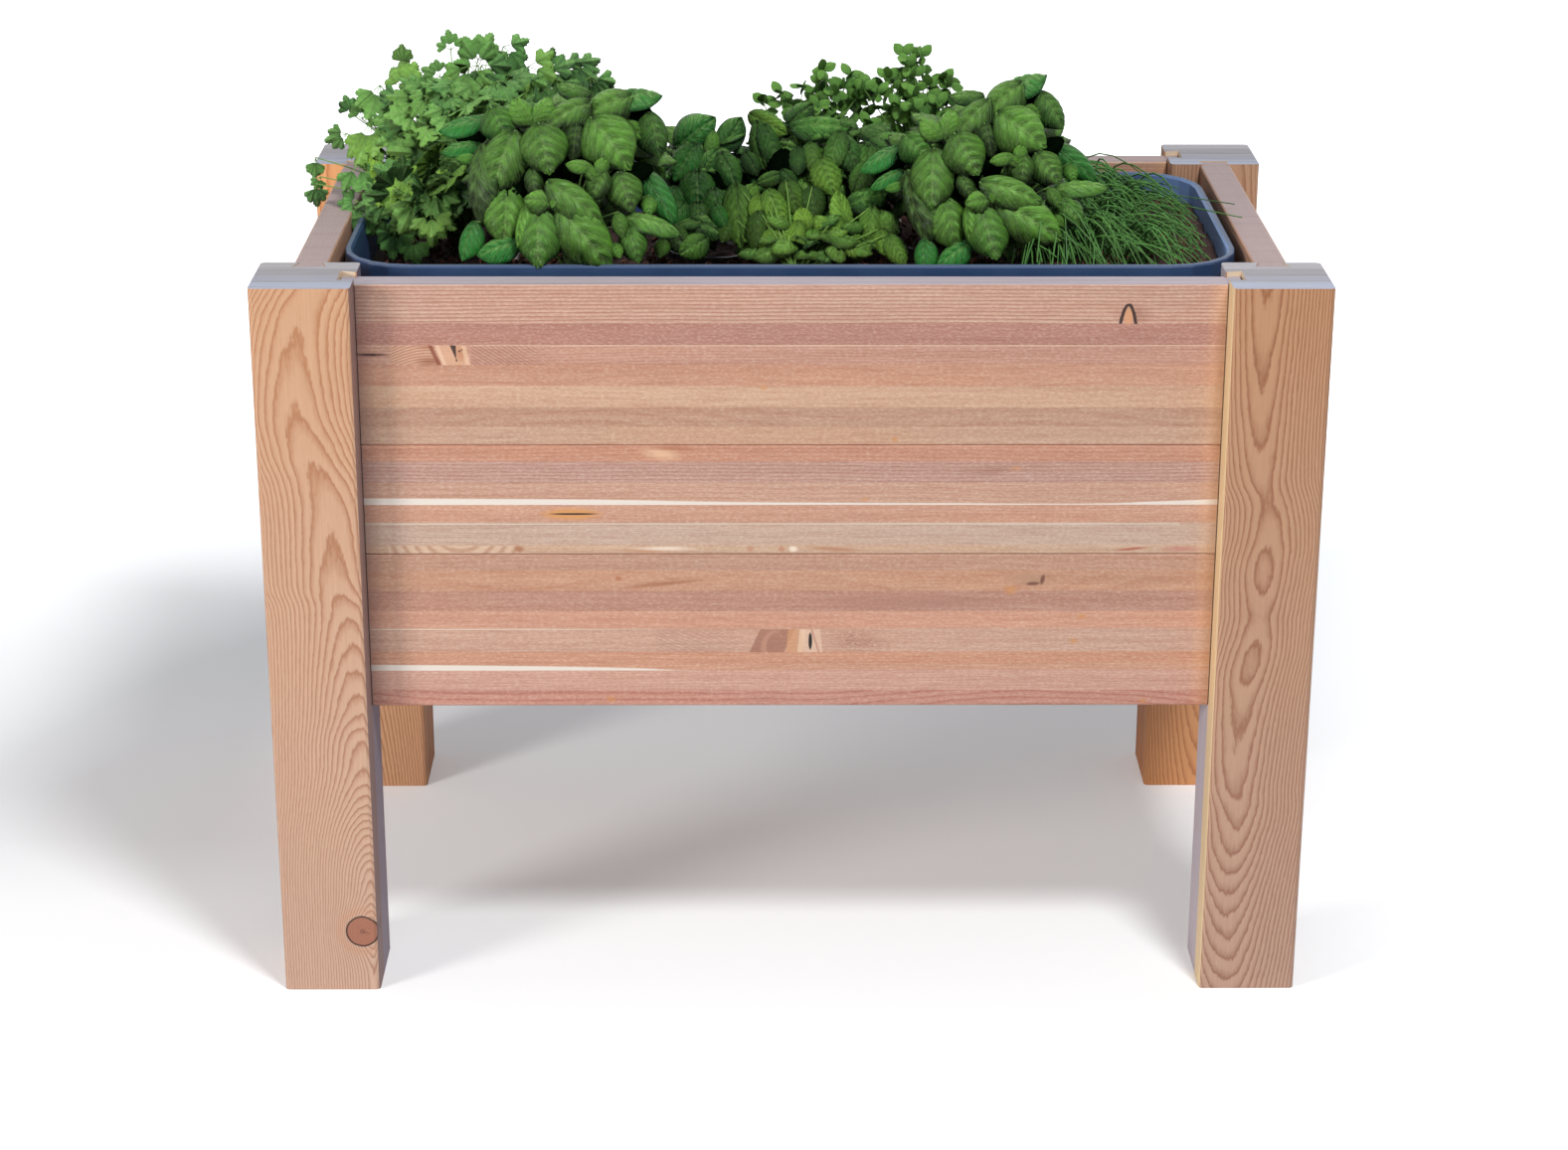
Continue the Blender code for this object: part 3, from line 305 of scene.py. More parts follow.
def add_world():
    """Soft light from all round, and white where the camera or a shiny surface looks."""
    world = bpy.data.worlds.new("studio")
    bpy.context.scene.world = world
    world.use_nodes = True
    tree = world.node_tree
    soft = tree.nodes["Background"]
    soft.inputs["Color"].default_value = AMBIENT_COLOUR
    soft.inputs["Strength"].default_value = AMBIENT_LEVEL
    white = tree.nodes.new("ShaderNodeBackground")
    white.inputs["Color"].default_value = (1.0, 1.0, 1.0, 1.0)
    path = tree.nodes.new("ShaderNodeLightPath")
    shown = path.outputs["Is Camera Ray"]
    for ray in ("Is Transmission Ray", "Is Glossy Ray"):
        either = tree.nodes.new("ShaderNodeMath")
        either.operation = "MAXIMUM"
        tree.links.new(shown, either.inputs[0])
        tree.links.new(path.outputs[ray], either.inputs[1])
        shown = either.outputs[0]
    both = tree.nodes.new("ShaderNodeMixShader")
    for socket, shader in zip(both.inputs, (shown, soft.outputs[0], white.outputs[0])):
        tree.links.new(shader, socket)
    tree.links.new(both.outputs[0], tree.nodes["World Output"].inputs["Surface"])
    bpy.context.scene.view_settings.view_transform = "Standard"


# Lamps: name, place, the point they aim at, size, power and colour
LAMPS = (
    ("key", (0.90, -2.05, 3.35), (0.0, 0.0, 0.35), 0.7, 86.5, (0.95, 0.98, 1.0)),
    ("side", (-3.0, -2.3, 1.45), (0.0, 0.0, 0.40), 1.1, 80.0, (0.99, 0.97, 0.94)),
)

add_camera()
add_floor()
add_world()
for lamp in LAMPS:
    add_area_light(*lamp)


# Wood of the posts. Growth rings lie RING_STEP apart round a pith that moves by LAYER_SHIFT from
# one glued layer to the next. A knot is (x, z, radius) on the front face, and pushes the rings
# aside by KNOT_PUSH within KNOT_REACH. Deeper than SKIN lie the cream walls of the grooves.

POST_CENTRE_X = 0.453
POST_CENTRE_Y = 0.248
POST_SIDE = 0.094
POST_LAYERS = 4
RING_STEP = 0.0026
LAYER_SHIFT = 0.031
INNER_BAND = 0.033
POST_RING = [(0.0, 0.35), (0.10, 0.0), (0.50, 0.08), (0.78, 0.55), (0.90, 1.0), (1.0, 0.7)]
KNOT_REACH = 0.050
KNOT_PUSH = 0.016
KNOT_FRONT = -0.270
SKIN = 0.0012
GROOVE_CREAM = (222, 198, 170)
HEIGHT = 0.718
# Grey-blue of the top face of each layer: painted cool sky light.
TOP_GREYS = ((182, 188, 206), (166, 166, 178), (160, 156, 162), (184, 180, 184))


def ring_lines(graph, radius, step, fuzz):
    """1 at the dark edge of each growth ring, falling slowly towards its pale side."""
    return graph.ramp(graph.fraction(radius / step + fuzz), POST_RING)


def knot_distance(graph, x, y, z, knot):
    """Distance from a knot's middle on the front face, greater behind KNOT_FRONT."""
    knot_x, knot_z, _ = knot
    return graph.distance(x - knot_x, z - knot_z) + graph.math("MAXIMUM", 0.0, y - KNOT_FRONT)


def post_material(name, centre, pith_depth, pith_place, pale, dark, inner=None, knot=None):
    """A post glued from upright layers; its front layer shows arches of growth rings.

    pith_depth and pith_place are (height, distance) pairs: how far the pith lies behind the
    front face, and how far from the post's left side.
    """
    graph = Graph(name)
    x, y, z = graph.split(graph.point)
    half = POST_SIDE / 2
    front = centre[1] - half
    depth_share = (y - front) / (POST_SIDE / POST_LAYERS)
    layer = graph.math("FLOOR", depth_share)
    drift = graph.grain((7.0, 7.0, 3.0), 1.0)
    ripple = graph.grain((110.0, 110.0, 34.0), 2.0)
    grain = graph.grain((520.0, 520.0, 120.0), 2.0)
    place = graph.curve(z, 0.0, HEIGHT, pith_place)
    across = x - (centre[0] - half) - place + (drift - 0.5) * 0.008
    depth = graph.curve(z, 0.0, HEIGHT, pith_depth) + (y - front) + layer * LAYER_SHIFT
    radius = graph.distance(across, depth) + (ripple - 0.5) * 0.0013 + (drift - 0.5) * 0.004
    if knot:
        near = graph.rise(KNOT_REACH, knot_distance(graph, x, y, z, knot), KNOT_REACH)
        radius = radius - near * near * KNOT_PUSH
    lines = ring_lines(graph, radius, RING_STEP, (grain - 0.5) * 0.34)
    streaks = graph.grain((900.0, 900.0, 22.0), 3.0, 0.6)
    tone = graph.grain((9.0, 9.0, 2.0), 2.0)
    low = graph.math("DIVIDE", z, HEIGHT, clamp=True)
    base = graph.mix(low, pale[1], pale[0])
    line_colour = graph.mix(low, dark[1], dark[0])
    colour = graph.mix(lines * 0.95, base, line_colour)
    colour = graph.mix((streaks - 0.35) * 0.55, colour, line_colour)
    colour = graph.mix(tone * 0.24, colour, graph.mix(0.5, base, (236, 190, 140)))
    odd = graph.fraction((layer + 3.0) * 0.618)
    tint = graph.mix(odd, (255, 244, 232), (232, 214, 206))
    behind = graph.math("MINIMUM", layer, 1.0, clamp=True)
    colour = graph.mix(behind, colour, graph.mix(1.0, colour, tint, "MULTIPLY"))
    height = streaks * 0.5 + lines * -0.6
    if knot:
        colour, height = add_round_knot(graph, colour, height, knot)
    seam = graph.between(graph.fraction(depth_share), 0.97, 1.1, 0.01)
    inside = graph.between(y, front + 0.002, front + POST_SIDE - 0.002, 0.0005)
    colour = graph.mix(seam * inside * 0.55, colour, (120, 84, 62))
    # Painted light and shade on the side face that looks to the other post, with one colour near the front
    # and one further in. On the left post it is painted shade, on the right post painted light.
    if inner:
        painted_inner_shading = graph.rise(graph.facing(0) * -math.copysign(1.0, centre[0]), 0.8, 0.1)
        back = graph.rise(y, front + INNER_BAND, 0.001)
        painted_face_shading = graph.mix(back, inner[0], inner[1])
        painted_face_shading = graph.mix((lines + streaks) * 0.3, painted_face_shading, line_colour)
        colour = graph.mix(painted_inner_shading * 0.9, colour, painted_face_shading)
    within = graph.between(x, centre[0] - half + SKIN, centre[0] + half - SKIN, 0.0004)
    within = within * graph.between(y, front + SKIN, front + POST_SIDE - SKIN, 0.0004)
    colour = graph.mix(within, colour, GROOVE_CREAM)
    # The top faces: grey-blue painted cool sky light, with streaks and lines along the grain.
    streak_x = graph.grain((14.0, 260.0, 60.0), 3.0)
    line_x = graph.grain((5.0, 420.0, 60.0), 2.0)
    stops = [(number / POST_LAYERS, grey) for number, grey in enumerate(TOP_GREYS)]
    sky_lit_top = graph.ramp(depth_share / POST_LAYERS, stops, "CONSTANT")
    sky_lit_top = graph.mix((streak_x - 0.45) * 1.2, sky_lit_top, (138, 128, 130))
    sky_lit_top = graph.mix((line_x - 0.56) * 4.0, sky_lit_top, (112, 102, 104))
    colour = graph.mix(graph.top_mask() * 0.94, colour, sky_lit_top)
    return graph.finish(colour, streaks * 0.2 + 0.48, height, 0.00035)


def add_round_knot(graph, colour, height, knot):
    """A dark round knot with its own rings, a black rim and a split."""
    knot_x, knot_z, size = knot
    x, y, z = graph.split(graph.point)
    wobble = graph.grain((90.0, 90.0, 90.0), 2.0)
    dx = x - knot_x
    dz = z - knot_z
    away = knot_distance(graph, x, y, z, knot) + (wobble - 0.5) * 0.0016
    inside = graph.rise(size, away, 0.0005)
    rings = graph.math("SINE", away * 3200.0)
    heart = graph.mix(rings * 0.16 + 0.45, (186, 126, 100), (120, 66, 50))
    heart = graph.mix(graph.between(away, 0.0, 0.0035, 0.003), heart, (108, 60, 46))
    rim = graph.between(away, size - 0.0016, size + 0.0006, 0.0007)
    halo = graph.between(away, size, size + 0.012, 0.009)
    colour = graph.mix(halo * 0.35, colour, (196, 128, 84))
    colour = graph.mix(inside, colour, heart)
    colour = graph.mix(rim * 0.95, colour, (46, 24, 18))
    split = graph.between(dz + dx * 0.35, -0.0004, 0.0004, 0.0004)
    split = split * graph.between(dx, -0.001, 0.008, 0.002)
    colour = graph.mix(split * 0.8, colour, (60, 32, 24))
    height = height - (rim + split) * 2.0
    return colour, height


def dress(names, material):
    for name in names:
        node = NODES[name]
        node.data.materials.clear()
        node.data.materials.append(material)


def ring_depths(first, tips):
    """Depth of the pith at each tip of an arch: one ring more or less from tip to tip."""
    return [(height, first + rings * RING_STEP) for height, rings in tips]


# Heights of the arches' tips, with the rings between each and the first
LEFT_TIPS = (
    (0.0, 0), (0.06, 0), (0.1, 1), (0.158, 6), (0.199, 11), (0.209, 12), (0.235, 14), (0.264, 15),
    (0.295, 17), (0.344, 19), (0.399, 21), (0.429, 22), (0.507, 23), (0.564, 24), (0.619, 25),
    (0.709, 26),
)
LEFT_PITH = (
    (0.0, 0.089), (0.1, 0.089), (0.235, 0.0874), (0.312, 0.0846), (0.399, 0.079), (0.429, 0.0696),
    (0.507, 0.0658), (0.564, 0.0478), (0.619, 0.0393), (0.709, 0.0556),
)
RIGHT_TIPS = (
    (0.0, 12), (0.041, 10), (0.089, 8), (0.132, 6), (0.156, 5), (0.188, 4), (0.224, 3), (0.306, 2),
    (0.347, 1.3), (0.384, 2), (0.394, 2.2), (0.404, 2), (0.441, 1.2), (0.486, 2), (0.511, 2.4),
    (0.537, 2), (0.59, 1), (0.664, 0), (0.718, -0.6),
)
RIGHT_PITH = (
    (0.0, 0.026), (0.11, 0.0248), (0.156, 0.0263), (0.188, 0.0282), (0.224, 0.0248), (0.306, 0.0275),
    (0.384, 0.0382), (0.441, 0.0409), (0.486, 0.0442), (0.537, 0.0332), (0.59, 0.031), (0.718, 0.03),
)


def dress_posts():
    """Each post with its pale and dark colours, first at the top and then at the foot."""
    left_x, right_x = -POST_CENTRE_X, POST_CENTRE_X
    front_y, rear_y = -POST_CENTRE_Y, POST_CENTRE_Y
    left = post_material(
        "post_front_left", (left_x, front_y), ring_depths(0.008, LEFT_TIPS), LEFT_PITH,
        ((196, 151, 117), (202, 167, 147)), ((160, 98, 58), (152, 104, 83)),
        # The inner face: painted shade.
        inner=((116, 102, 106), (122, 126, 150)), knot=(-0.4212, 0.0637, 0.0162),
    )
    right = post_material(
        "post_front_right", (right_x, front_y), ring_depths(0.035, RIGHT_TIPS), RIGHT_PITH,
        ((182, 134, 98), (190, 154, 134)), ((134, 74, 40), (142, 94, 76)),
        # The inner face: painted light.
        inner=((250, 222, 172), (200, 196, 208)),
    )
    rear_left = post_material(
        "post_rear_left", (left_x, rear_y), [(0.0, 0.03), (0.3, 0.05), (HEIGHT, 0.06)],
        [(0.0, 0.030), (HEIGHT, 0.030)],
        ((226, 164, 108), (224, 171, 131)), ((182, 108, 58), (166, 104, 70)),
    )
    rear_right = post_material(
        "post_rear_right", (right_x, rear_y), [(0.0, 0.06), (0.3, 0.045), (HEIGHT, 0.05)],
        [(0.0, 0.064), (HEIGHT, 0.064)],
        # The colours at the foot are lighter: painted light where the post's foot lies in the shade of the
        # front wall.
        ((196, 152, 122), (224, 158, 104)), ((150, 100, 72), (178, 104, 60)),
    )
    dress(["front_left_post"], left)
    dress(["front_right_post"], right)
    dress(["rear_left_post"], rear_left)
    dress(["rear_right_post"], rear_right)


dress_posts()


# Wood of the boards

WALL_BOTTOM = 0.280
WALL_TOP = 0.725
WALL_END = 0.4060
END_BAND = 0.020
# How much of the top faces takes the painted cool sky light.
TOP_SKY_LIGHT = 0.85
FRONT_FACE = -0.264
DARK_CRACK = (44, 20, 16)
PITCH = (206, 138, 74)

# Strips of the front boards from the bottom up: top edge, tone, strength of the growth lines,
# depth of the pith below the strip, spacing of the lines, how far the lines wander
FRONT_STRIPS = (
    (0.3068, (202, 146, 128), 1.00, 0.060, 4.2, 0.9),
    (0.3282, (212, 164, 144), 0.40, 0.110, 2.6, 0.3),
    (0.3348, (210, 158, 130), 0.25, 0.080, 3.0, 0.4),
    (0.3467, (208, 152, 122), 0.30, 0.090, 5.0, 0.5),
    (0.3709, (206, 164, 142), 0.22, 0.070, 4.0, 0.6),
    (0.3890, (212, 158, 132), 0.20, 0.060, 5.0, 0.8),
    (0.4098, (190, 142, 122), 0.30, 0.090, 6.0, 0.7),
    (0.4301, (202, 152, 122), 0.35, 0.050, 7.0, 1.0),
    (0.4482, (194, 150, 126), 0.25, 0.100, 5.0, 0.5),
    (0.4566, (208, 172, 144), 0.20, 0.030, 4.0, 0.5),
    (0.4782, (204, 174, 154), 0.35, 0.120, 2.2, 0.3),
    (0.4975, (208, 158, 132), 0.15, 0.060, 5.0, 0.5),
    (0.5184, (204, 160, 136), 0.35, 0.090, 5.0, 0.6),
    (0.5393, (196, 156, 140), 0.85, 0.100, 3.4, 0.3),
    (0.5580, (204, 149, 122), 0.55, 0.080, 3.4, 0.4),
    (0.5741, (200, 160, 134), 0.20, 0.080, 6.0, 0.5),
    (0.5937, (192, 150, 124), 0.45, 0.070, 7.0, 1.1),
    (0.6148, (210, 168, 138), 0.18, 0.080, 5.0, 0.4),
    (0.6357, (204, 152, 124), 0.28, 0.060, 6.0, 0.7),
    (0.6550, (200, 152, 130), 0.55, 0.100, 2.8, 0.4),
    (0.6757, (182, 130, 114), 0.10, 0.090, 4.0, 0.3),
    (0.7250, (208, 168, 146), 1.00, 0.095, 3.5, 0.16),
)
STRIP_GREYS = (
    (196, 150, 122), (206, 158, 130), (188, 142, 120), (210, 166, 138), (202, 146, 122),
    (194, 154, 132),
)

# Pale to dark across one growth ring of a board
BOARD_RING = [(0.0, 0.3), (0.12, 0.0), (0.5, 0.05), (0.80, 0.55), (0.92, 1.0), (1.0, 0.5)]
SPLIT_COLOUR = "ShaderNodeSeparateColor"
CENTRE_SHIFT = 0.4
MOST_STRIPS = 26


def stretch(lengthwise, crosswise, axis):
    """Noise factors for grain that runs along an axis."""
    factors = [crosswise] * 3
    factors[axis] = lengthwise
    return tuple(factors)


def wall_strips(seed):
    """Invented strips for a wall that is hardly seen, 17 to 24 mm high."""
    rng = random.Random(seed)
    strips = []
    top = WALL_BOTTOM
    while top < WALL_TOP and len(strips) < MOST_STRIPS:
        top += rng.uniform(0.017, 0.024)
        strips.append((top, rng.choice(STRIP_GREYS), rng.uniform(0.15, 0.8), rng.uniform(0.04, 0.12),
                       rng.uniform(2.4, 6.0), rng.uniform(0.3, 1.0)))
    return strips


class Plank(Graph):
    """Glued boards: along runs with the grain, z crosses the strips, deep goes into the wall."""

    def __init__(self, name, strips, axis, face):
        super().__init__(name)
        x, y, z = self.split(self.point)
        self.z = z
        self.along = x if axis == 0 else y
        self.deep = (y if axis == 0 else x) - face
        span = WALL_TOP - WALL_BOTTOM
        share = (z - WALL_BOTTOM) / span
        lows = [0.0] + [(top - WALL_BOTTOM) / span for top, *_ in strips[:-1]]
        tone = self.ramp(share, [(low, strip[1]) for low, strip in zip(lows, strips)], "CONSTANT")
        rows = []
        more = []
        for number, (low, (top, _, strength, pith, step, wander)) in enumerate(zip(lows, strips)):
            centre = (top - pith - WALL_BOTTOM) / span + CENTRE_SHIFT
            rows.append((low, (strength, centre, (number * 0.618) % 1.0, 1.0)))
            more.append((low, (step / 10.0, wander, 0.0, 1.0)))
        strength, centre, seed = self.split(self.ramp(share, rows, "CONSTANT"), SPLIT_COLOUR)
        step, wander, _ = self.split(self.ramp(share, more, "CONSTANT"), SPLIT_COLOUR)
        centre = (centre - CENTRE_SHIFT) * span + WALL_BOTTOM
        shift = seed * 37.0
        slow = self.noise(self.join(self.along * 1.7 + shift, seed, 0.0), 1.0, 1.0)
        quick = self.noise(self.join(self.along * 9.0 + shift, z * 30.0, 0.0), 1.0, 2.0)
        across = z - centre + (quick - 0.5) * (wander * 0.006)
        pith = 0.004 + slow * (wander * 0.15) + self.deep
        radius = self.distance(across, pith) + (quick - 0.5) * 0.001
        fuzz = self.grain(stretch(60.0, 700.0, axis), 2.0)
        turns = self.fraction(radius / (step * 0.01) + (fuzz - 0.5) * 0.35)
        self.lines = self.ramp(turns, BOARD_RING) * strength
        self.streaks = self.grain(stretch(20.0, 640.0, axis), 4.0, 0.65)
        bands = self.grain(stretch(2.2, 150.0, axis), 2.0)
        places = self.vector("MULTIPLY", self.point, stretch(3.0, 24.0, axis))
        patches = self.noise(self.vector("ADD", places, self.join(shift, shift, shift)), 1.0, 2.0)
        grains = self.grain(stretch(240.0, 560.0, axis), 3.0, 0.7)
        colour = tone
        for share, tint, gain in (
            ((bands - 0.4) * 1.1, (206, 178, 168), 1.0),
            ((patches - 0.45) * 1.3, (255, 236, 218), 1.06),
            (self.lines * 0.72, (212, 164, 148), 1.0),
            ((self.streaks - 0.42) * 1.5, (198, 166, 152), 1.0),
            ((0.52 - grains) * 1.4, (206, 176, 162), 1.0),
        ):
            colour = self.mix(share, colour, self.tinted(tone, tint, gain))
        self.colour = self.mix((grains - 0.5) * 1.1, colour, (238, 214, 192))
        self.height = self.streaks * 0.6 + self.lines * -0.5 + grains * 0.35

    def tinted(self, tone, tint, gain=1.0):
        *parts, alpha = linear(*tint)
        return self.mix(1.0, tone, (*(part * gain for part in parts), alpha), "MULTIPLY")

    def ellipse(self, x, z, long, high, slope=0.0, edge=0.5):
        """1 inside an ellipse with a soft edge; slope tips it like a sheared shape."""
        dx = self.along - x
        dz = self.z - z - dx * slope
        return self.rise(1.0, self.distance(dx / long, dz / high), edge)

    def block(self, low_x, high_x, low_z, high_z, slope=0.0, edge=0.0006):
        """1 inside a band between two upright or leaning edges."""
        lean = (self.z - low_z) * slope
        wide = self.between(self.along - lean, low_x, high_x, edge)
        return wide * self.between(self.z, low_z, high_z, 0.0003)

    def spots(self, *rows):
        """Soft ellipses: x, z, half length, half height, slope, edge, colour, strength."""
        for *shape, colour, strength in rows:
            self.paint(self.ellipse(*shape), colour, strength)

    def blocks(self, low_z, high_z, *rows):
        """Bands between two heights: low and high x, slope, edge, colour, strength."""
        for low_x, high_x, slope, edge, colour, strength in rows:
            self.paint(self.block(low_x, high_x, low_z, high_z, slope, edge), colour, strength)

    def crack(self, mask, colour=DARK_CRACK, strength=0.95, depth=2.0):
        """Paints a hollow dark."""
        self.paint(mask, colour, strength)
        self.height = self.height - mask * depth

    def paint(self, mask, colour, strength=1.0):
        self.colour = self.mix(mask * strength, self.colour, linear(*colour))

    def stripe(self, base, widths):
        """Pale sapwood at the foot of a strip; widths are (x, width) along the board."""
        width = self.curve(self.along, widths[0][0], widths[-1][0], widths)
        inside = self.rise(width + base, self.z, 0.0012)
        inside = inside * self.math("GREATER_THAN", self.z, base)
        self.paint(inside, (234, 220, 206), 0.88)

    def between_edges(self, low, high, low_z, high_z, edge=0.0005):
        """1 between two edges that may be values, over a band of heights."""
        return self.between(self.along, low, high, edge) * self.between(self.z, low_z, high_z, 0.0004)

    def hatch(self, low_x, high_x, low_z, high_z, slope, spacing, colour, strength):
        """Fine slanted grain lines that fade out towards high_x."""
        fade = self.math("MINIMUM", self.rise(high_x, self.along, high_x - low_x) * 2.0, 1.0)
        bend = self.grain((30.0, 30.0, 60.0), 1.0)
        height = self.z + self.along * slope + (bend - 0.5) * 0.006
        area = self.between_edges(low_x, high_x, low_z, high_z) * fade
        self.paint(area * self.wave(height * (2.0 * math.pi / spacing)), colour, strength)

    def done(self, brown=0.0):
        """Painted shade at the left ends, painted warm light at the right ends, painted shade in the gaps,
        and the grey of the top edge; brown is how far that grey is warmed.
        """
        self.colour = self.tinted(self.colour, (247, 252, 255))
        # Painted shade at the left end, where the post shades the board, and painted warm light at the
        # right end, where light bounces off the post.
        end = self.rise(abs(self.along), WALL_END - END_BAND, END_BAND)
        left = self.math("LESS_THAN", self.along, 0.0)
        self.paint(end * left, (96, 66, 62), 0.62)
        self.paint(end * (1.0 - left), (240, 184, 128), 0.3)
        # Painted shade: a dark line in the gap against the posts.
        gap = self.math("GREATER_THAN", abs(self.along), WALL_END - 0.001)
        self.paint(gap, (30, 20, 20), 0.85)
        # The top edge: grey-blue painted cool sky light, with lines and streaks along the grain.
        fine = self.grain((34.0, 520.0, 100.0), 3.0)
        streak = self.grain((3.2, 330.0, 100.0), 3.0, 0.6)
        sky_lit_top = self.mix(fine, (172, 162, 174), (206, 196, 202))
        sky_lit_top = self.mix(self.lines * 0.3, sky_lit_top, (150, 130, 136))
        sky_lit_top = self.mix((streak - 0.53) * 3.2, sky_lit_top, (122, 112, 126))
        sky_lit_top = self.mix(brown, sky_lit_top, (166, 138, 126))
        rim = self.math("LESS_THAN", abs(self.deep), 0.0028)
        sky_lit_top = self.mix(rim * 0.55, sky_lit_top, (222, 190, 168))
        self.colour = self.mix(self.top_mask() * TOP_SKY_LIGHT, self.colour, sky_lit_top)
        return self.finish(self.colour, self.streaks * 0.2 + 0.5, self.height, 0.0003)


def front_top_board():
    plank = Plank("front_board_top", FRONT_STRIPS, 0, FRONT_FACE)
    x, z = plank.along, plank.z
    low_z, high_z = 0.6357, 0.6550
    plank.blocks(0.6541, 0.6552, (-0.30, 0.41, 0.0, 0.0006, (238, 206, 176), 0.6))
    rise = plank.rise(x, -0.376, 0.044)
    hump = 0.645 + plank.math("SINE", rise * 1.9) * 0.01
    swirl = plank.between_edges(-0.376, -0.330, low_z, high_z, 0.004)
    plank.paint(swirl, (220, 172, 140), 0.6)
    plank.paint(plank.lines * plank.between_edges(-0.41, 0.41, 0.6757, 0.726), (160, 104, 88), 0.55)
    plank.paint(swirl * plank.wave((z - hump) * 2300.0), (160, 104, 78), 0.75)
    plank.spots(
        (-0.338, 0.6395, 0.016, 0.0055, 0.0, 0.8, (146, 86, 60), 0.75),
        (-0.340, 0.6535, 0.012, 0.0035, 0.0, 0.8, (166, 104, 74), 0.6),
    )
    plank.blocks(
        low_z, high_z,
        (-0.3318, -0.3264, -0.42, 0.0014, (136, 72, 50), 0.9),
        (-0.3270, -0.2990, -0.36, 0.0012, (216, 164, 130), 0.75),
        (-0.3262, -0.3216, -0.36, 0.0010, (232, 192, 162), 0.6),
    )
    plank.spots((-0.3085, 0.6470, 0.0075, 0.0100, 0.0, 0.7, (186, 122, 84), 0.7))
    plank.blocks(low_z, high_z, (-0.3050, -0.2995, -0.20, 0.0012, (228, 186, 154), 0.6))
    plank.hatch(-0.2992, -0.2150, low_z, high_z, 0.62, 0.0034, (136, 88, 76), 0.50)
    ragged = plank.grain((260.0, 260.0, 260.0), 2.0)
    plank.spots((-0.3960, 0.6456, 0.0240, 0.0036, 0.0, 0.9, (150, 84, 66), 0.6))
    dark = plank.ellipse(-0.3960, 0.6456, 0.0230, 0.0018, 0.0, 0.6) * (0.45 + ragged)
    wedge = plank.between_edges(-0.3136 - (z - 0.6421) * 0.4, -0.3129, 0.6421, high_z, 0.0004)
    dark = plank.math("MAXIMUM", dark, wedge)
    for dot in ((-0.3098, 0.6492, 0.0011, 0.0013), (-0.3075, 0.6505, 0.0008, 0.0008),
                (-0.3128, 0.6405, 0.0008, 0.0018)):
        dark = plank.math("MAXIMUM", dark, plank.ellipse(*dot))
    plank.crack(dark)
    dx = x - 0.3134
    steep = dx * 714.0
    drop = z - 0.6939 + dx * dx * 357.0
    away = abs(drop) / plank.distance(1.0, steep)
    arch = plank.rise(0.0016 + (ragged - 0.5) * 0.0012, away, 0.0004)
    plank.spots(
        (0.3190, 0.6850, 0.0200, 0.0120, 0.0, 0.8, (150, 98, 78), 0.55),
        (0.3134, 0.6830, 0.0055, 0.0100, 0.0, 0.4, (214, 152, 108), 0.8),
    )
    plank.crack(arch * plank.between(z, 0.6757, 0.696, 0.0004))
    plank.spots(
        (-0.0261, 0.6138, 0.0045, 0.0035, 0.0, 0.9, PITCH, 0.7),
        (0.0976, 0.5629, 0.0045, 0.0035, 0.0, 0.9, PITCH, 0.7),
    )
    return plank.done()


def front_middle_board():
    plank = Plank("front_board_middle", FRONT_STRIPS, 0, FRONT_FACE)
    x, z = plank.along, plank.z
    plank.stripe(0.4976, [(-0.41, 0.0072), (-0.20, 0.0060), (-0.02, 0.0030), (0.15, 0.0022), (0.27, 0.0016),
                          (0.34, 0.0036), (0.41, 0.0064)])
    plank.blocks(0.4779, 0.4790, (-0.41, 0.37, 0.0, 0.0006, (232, 214, 192), 0.8))
    plank.spots((-0.2090, 0.4884, 0.0340, 0.0075, 0.0, 0.5, (216, 146, 76), 0.75))
    plank.crack(plank.ellipse(-0.2065, 0.4884, 0.0260, 0.0011, 0.0, 0.35))
    plank.spots(
        (-0.1230, 0.5490, 0.0230, 0.0090, -0.15, 0.8, (232, 186, 148), 0.7),
        (-0.1150, 0.5540, 0.0300, 0.0032, -0.04, 0.8, (166, 104, 72), 0.7),
    )
    ripple = plank.ellipse(0.1900, 0.5320, 0.0330, 0.0070, 0.12, 0.9)
    waves = plank.wave((z + plank.math("SINE", x * 60.0) * 0.004) * 3000.0)
    plank.paint(ripple * waves, (150, 98, 76), 0.8)
    plank.spots(
        (0.2130, 0.5340, 0.0070, 0.0030, 0.0, 0.9, PITCH, 0.6),
        (0.0700, 0.5030, 0.0050, 0.0030, 0.0, 0.9, PITCH, 0.6),
    )
    rings = plank.math("SINE", plank.distance(x + 0.315, z - 0.479) * 620.0)
    zone = plank.block(-0.3843, -0.2600, 0.4487, 0.4566)
    plank.paint(zone * plank.math("GREATER_THAN", rings, 0.1), (224, 190, 162), 0.42)
    plank.paint(zone * plank.math("LESS_THAN", rings, -0.75), (172, 120, 92), 0.45)
    plank.spots(
        (-0.2590, 0.4530, 0.0055, 0.0042, 0.0, 0.6, (160, 98, 62), 0.8),
        (-0.1200, 0.4535, 0.0330, 0.0032, 0.0, 0.8, (240, 216, 194), 0.75),
        (-0.1400, 0.4508, 0.0300, 0.0020, -0.02, 0.8, (190, 132, 98), 0.7),
        (-0.0390, 0.4530, 0.0045, 0.0042, 0.0, 0.6, (188, 134, 104), 0.8),
        (-0.0090, 0.4530, 0.0040, 0.0042, 0.0, 0.6, (188, 128, 96), 0.8),
        (0.0020, 0.4530, 0.0055, 0.0040, 0.0, 0.6, (242, 220, 196), 0.8),
        (0.0400, 0.4530, 0.0330, 0.0030, -0.06, 0.7, (176, 118, 84), 0.75),
        (0.3250, 0.4530, 0.0190, 0.0017, 0.10, 0.6, (170, 84, 68), 0.85),
        (0.3720, 0.4530, 0.0240, 0.0036, 0.0, 0.7, (190, 122, 108), 0.7),
    )
    return plank.done()


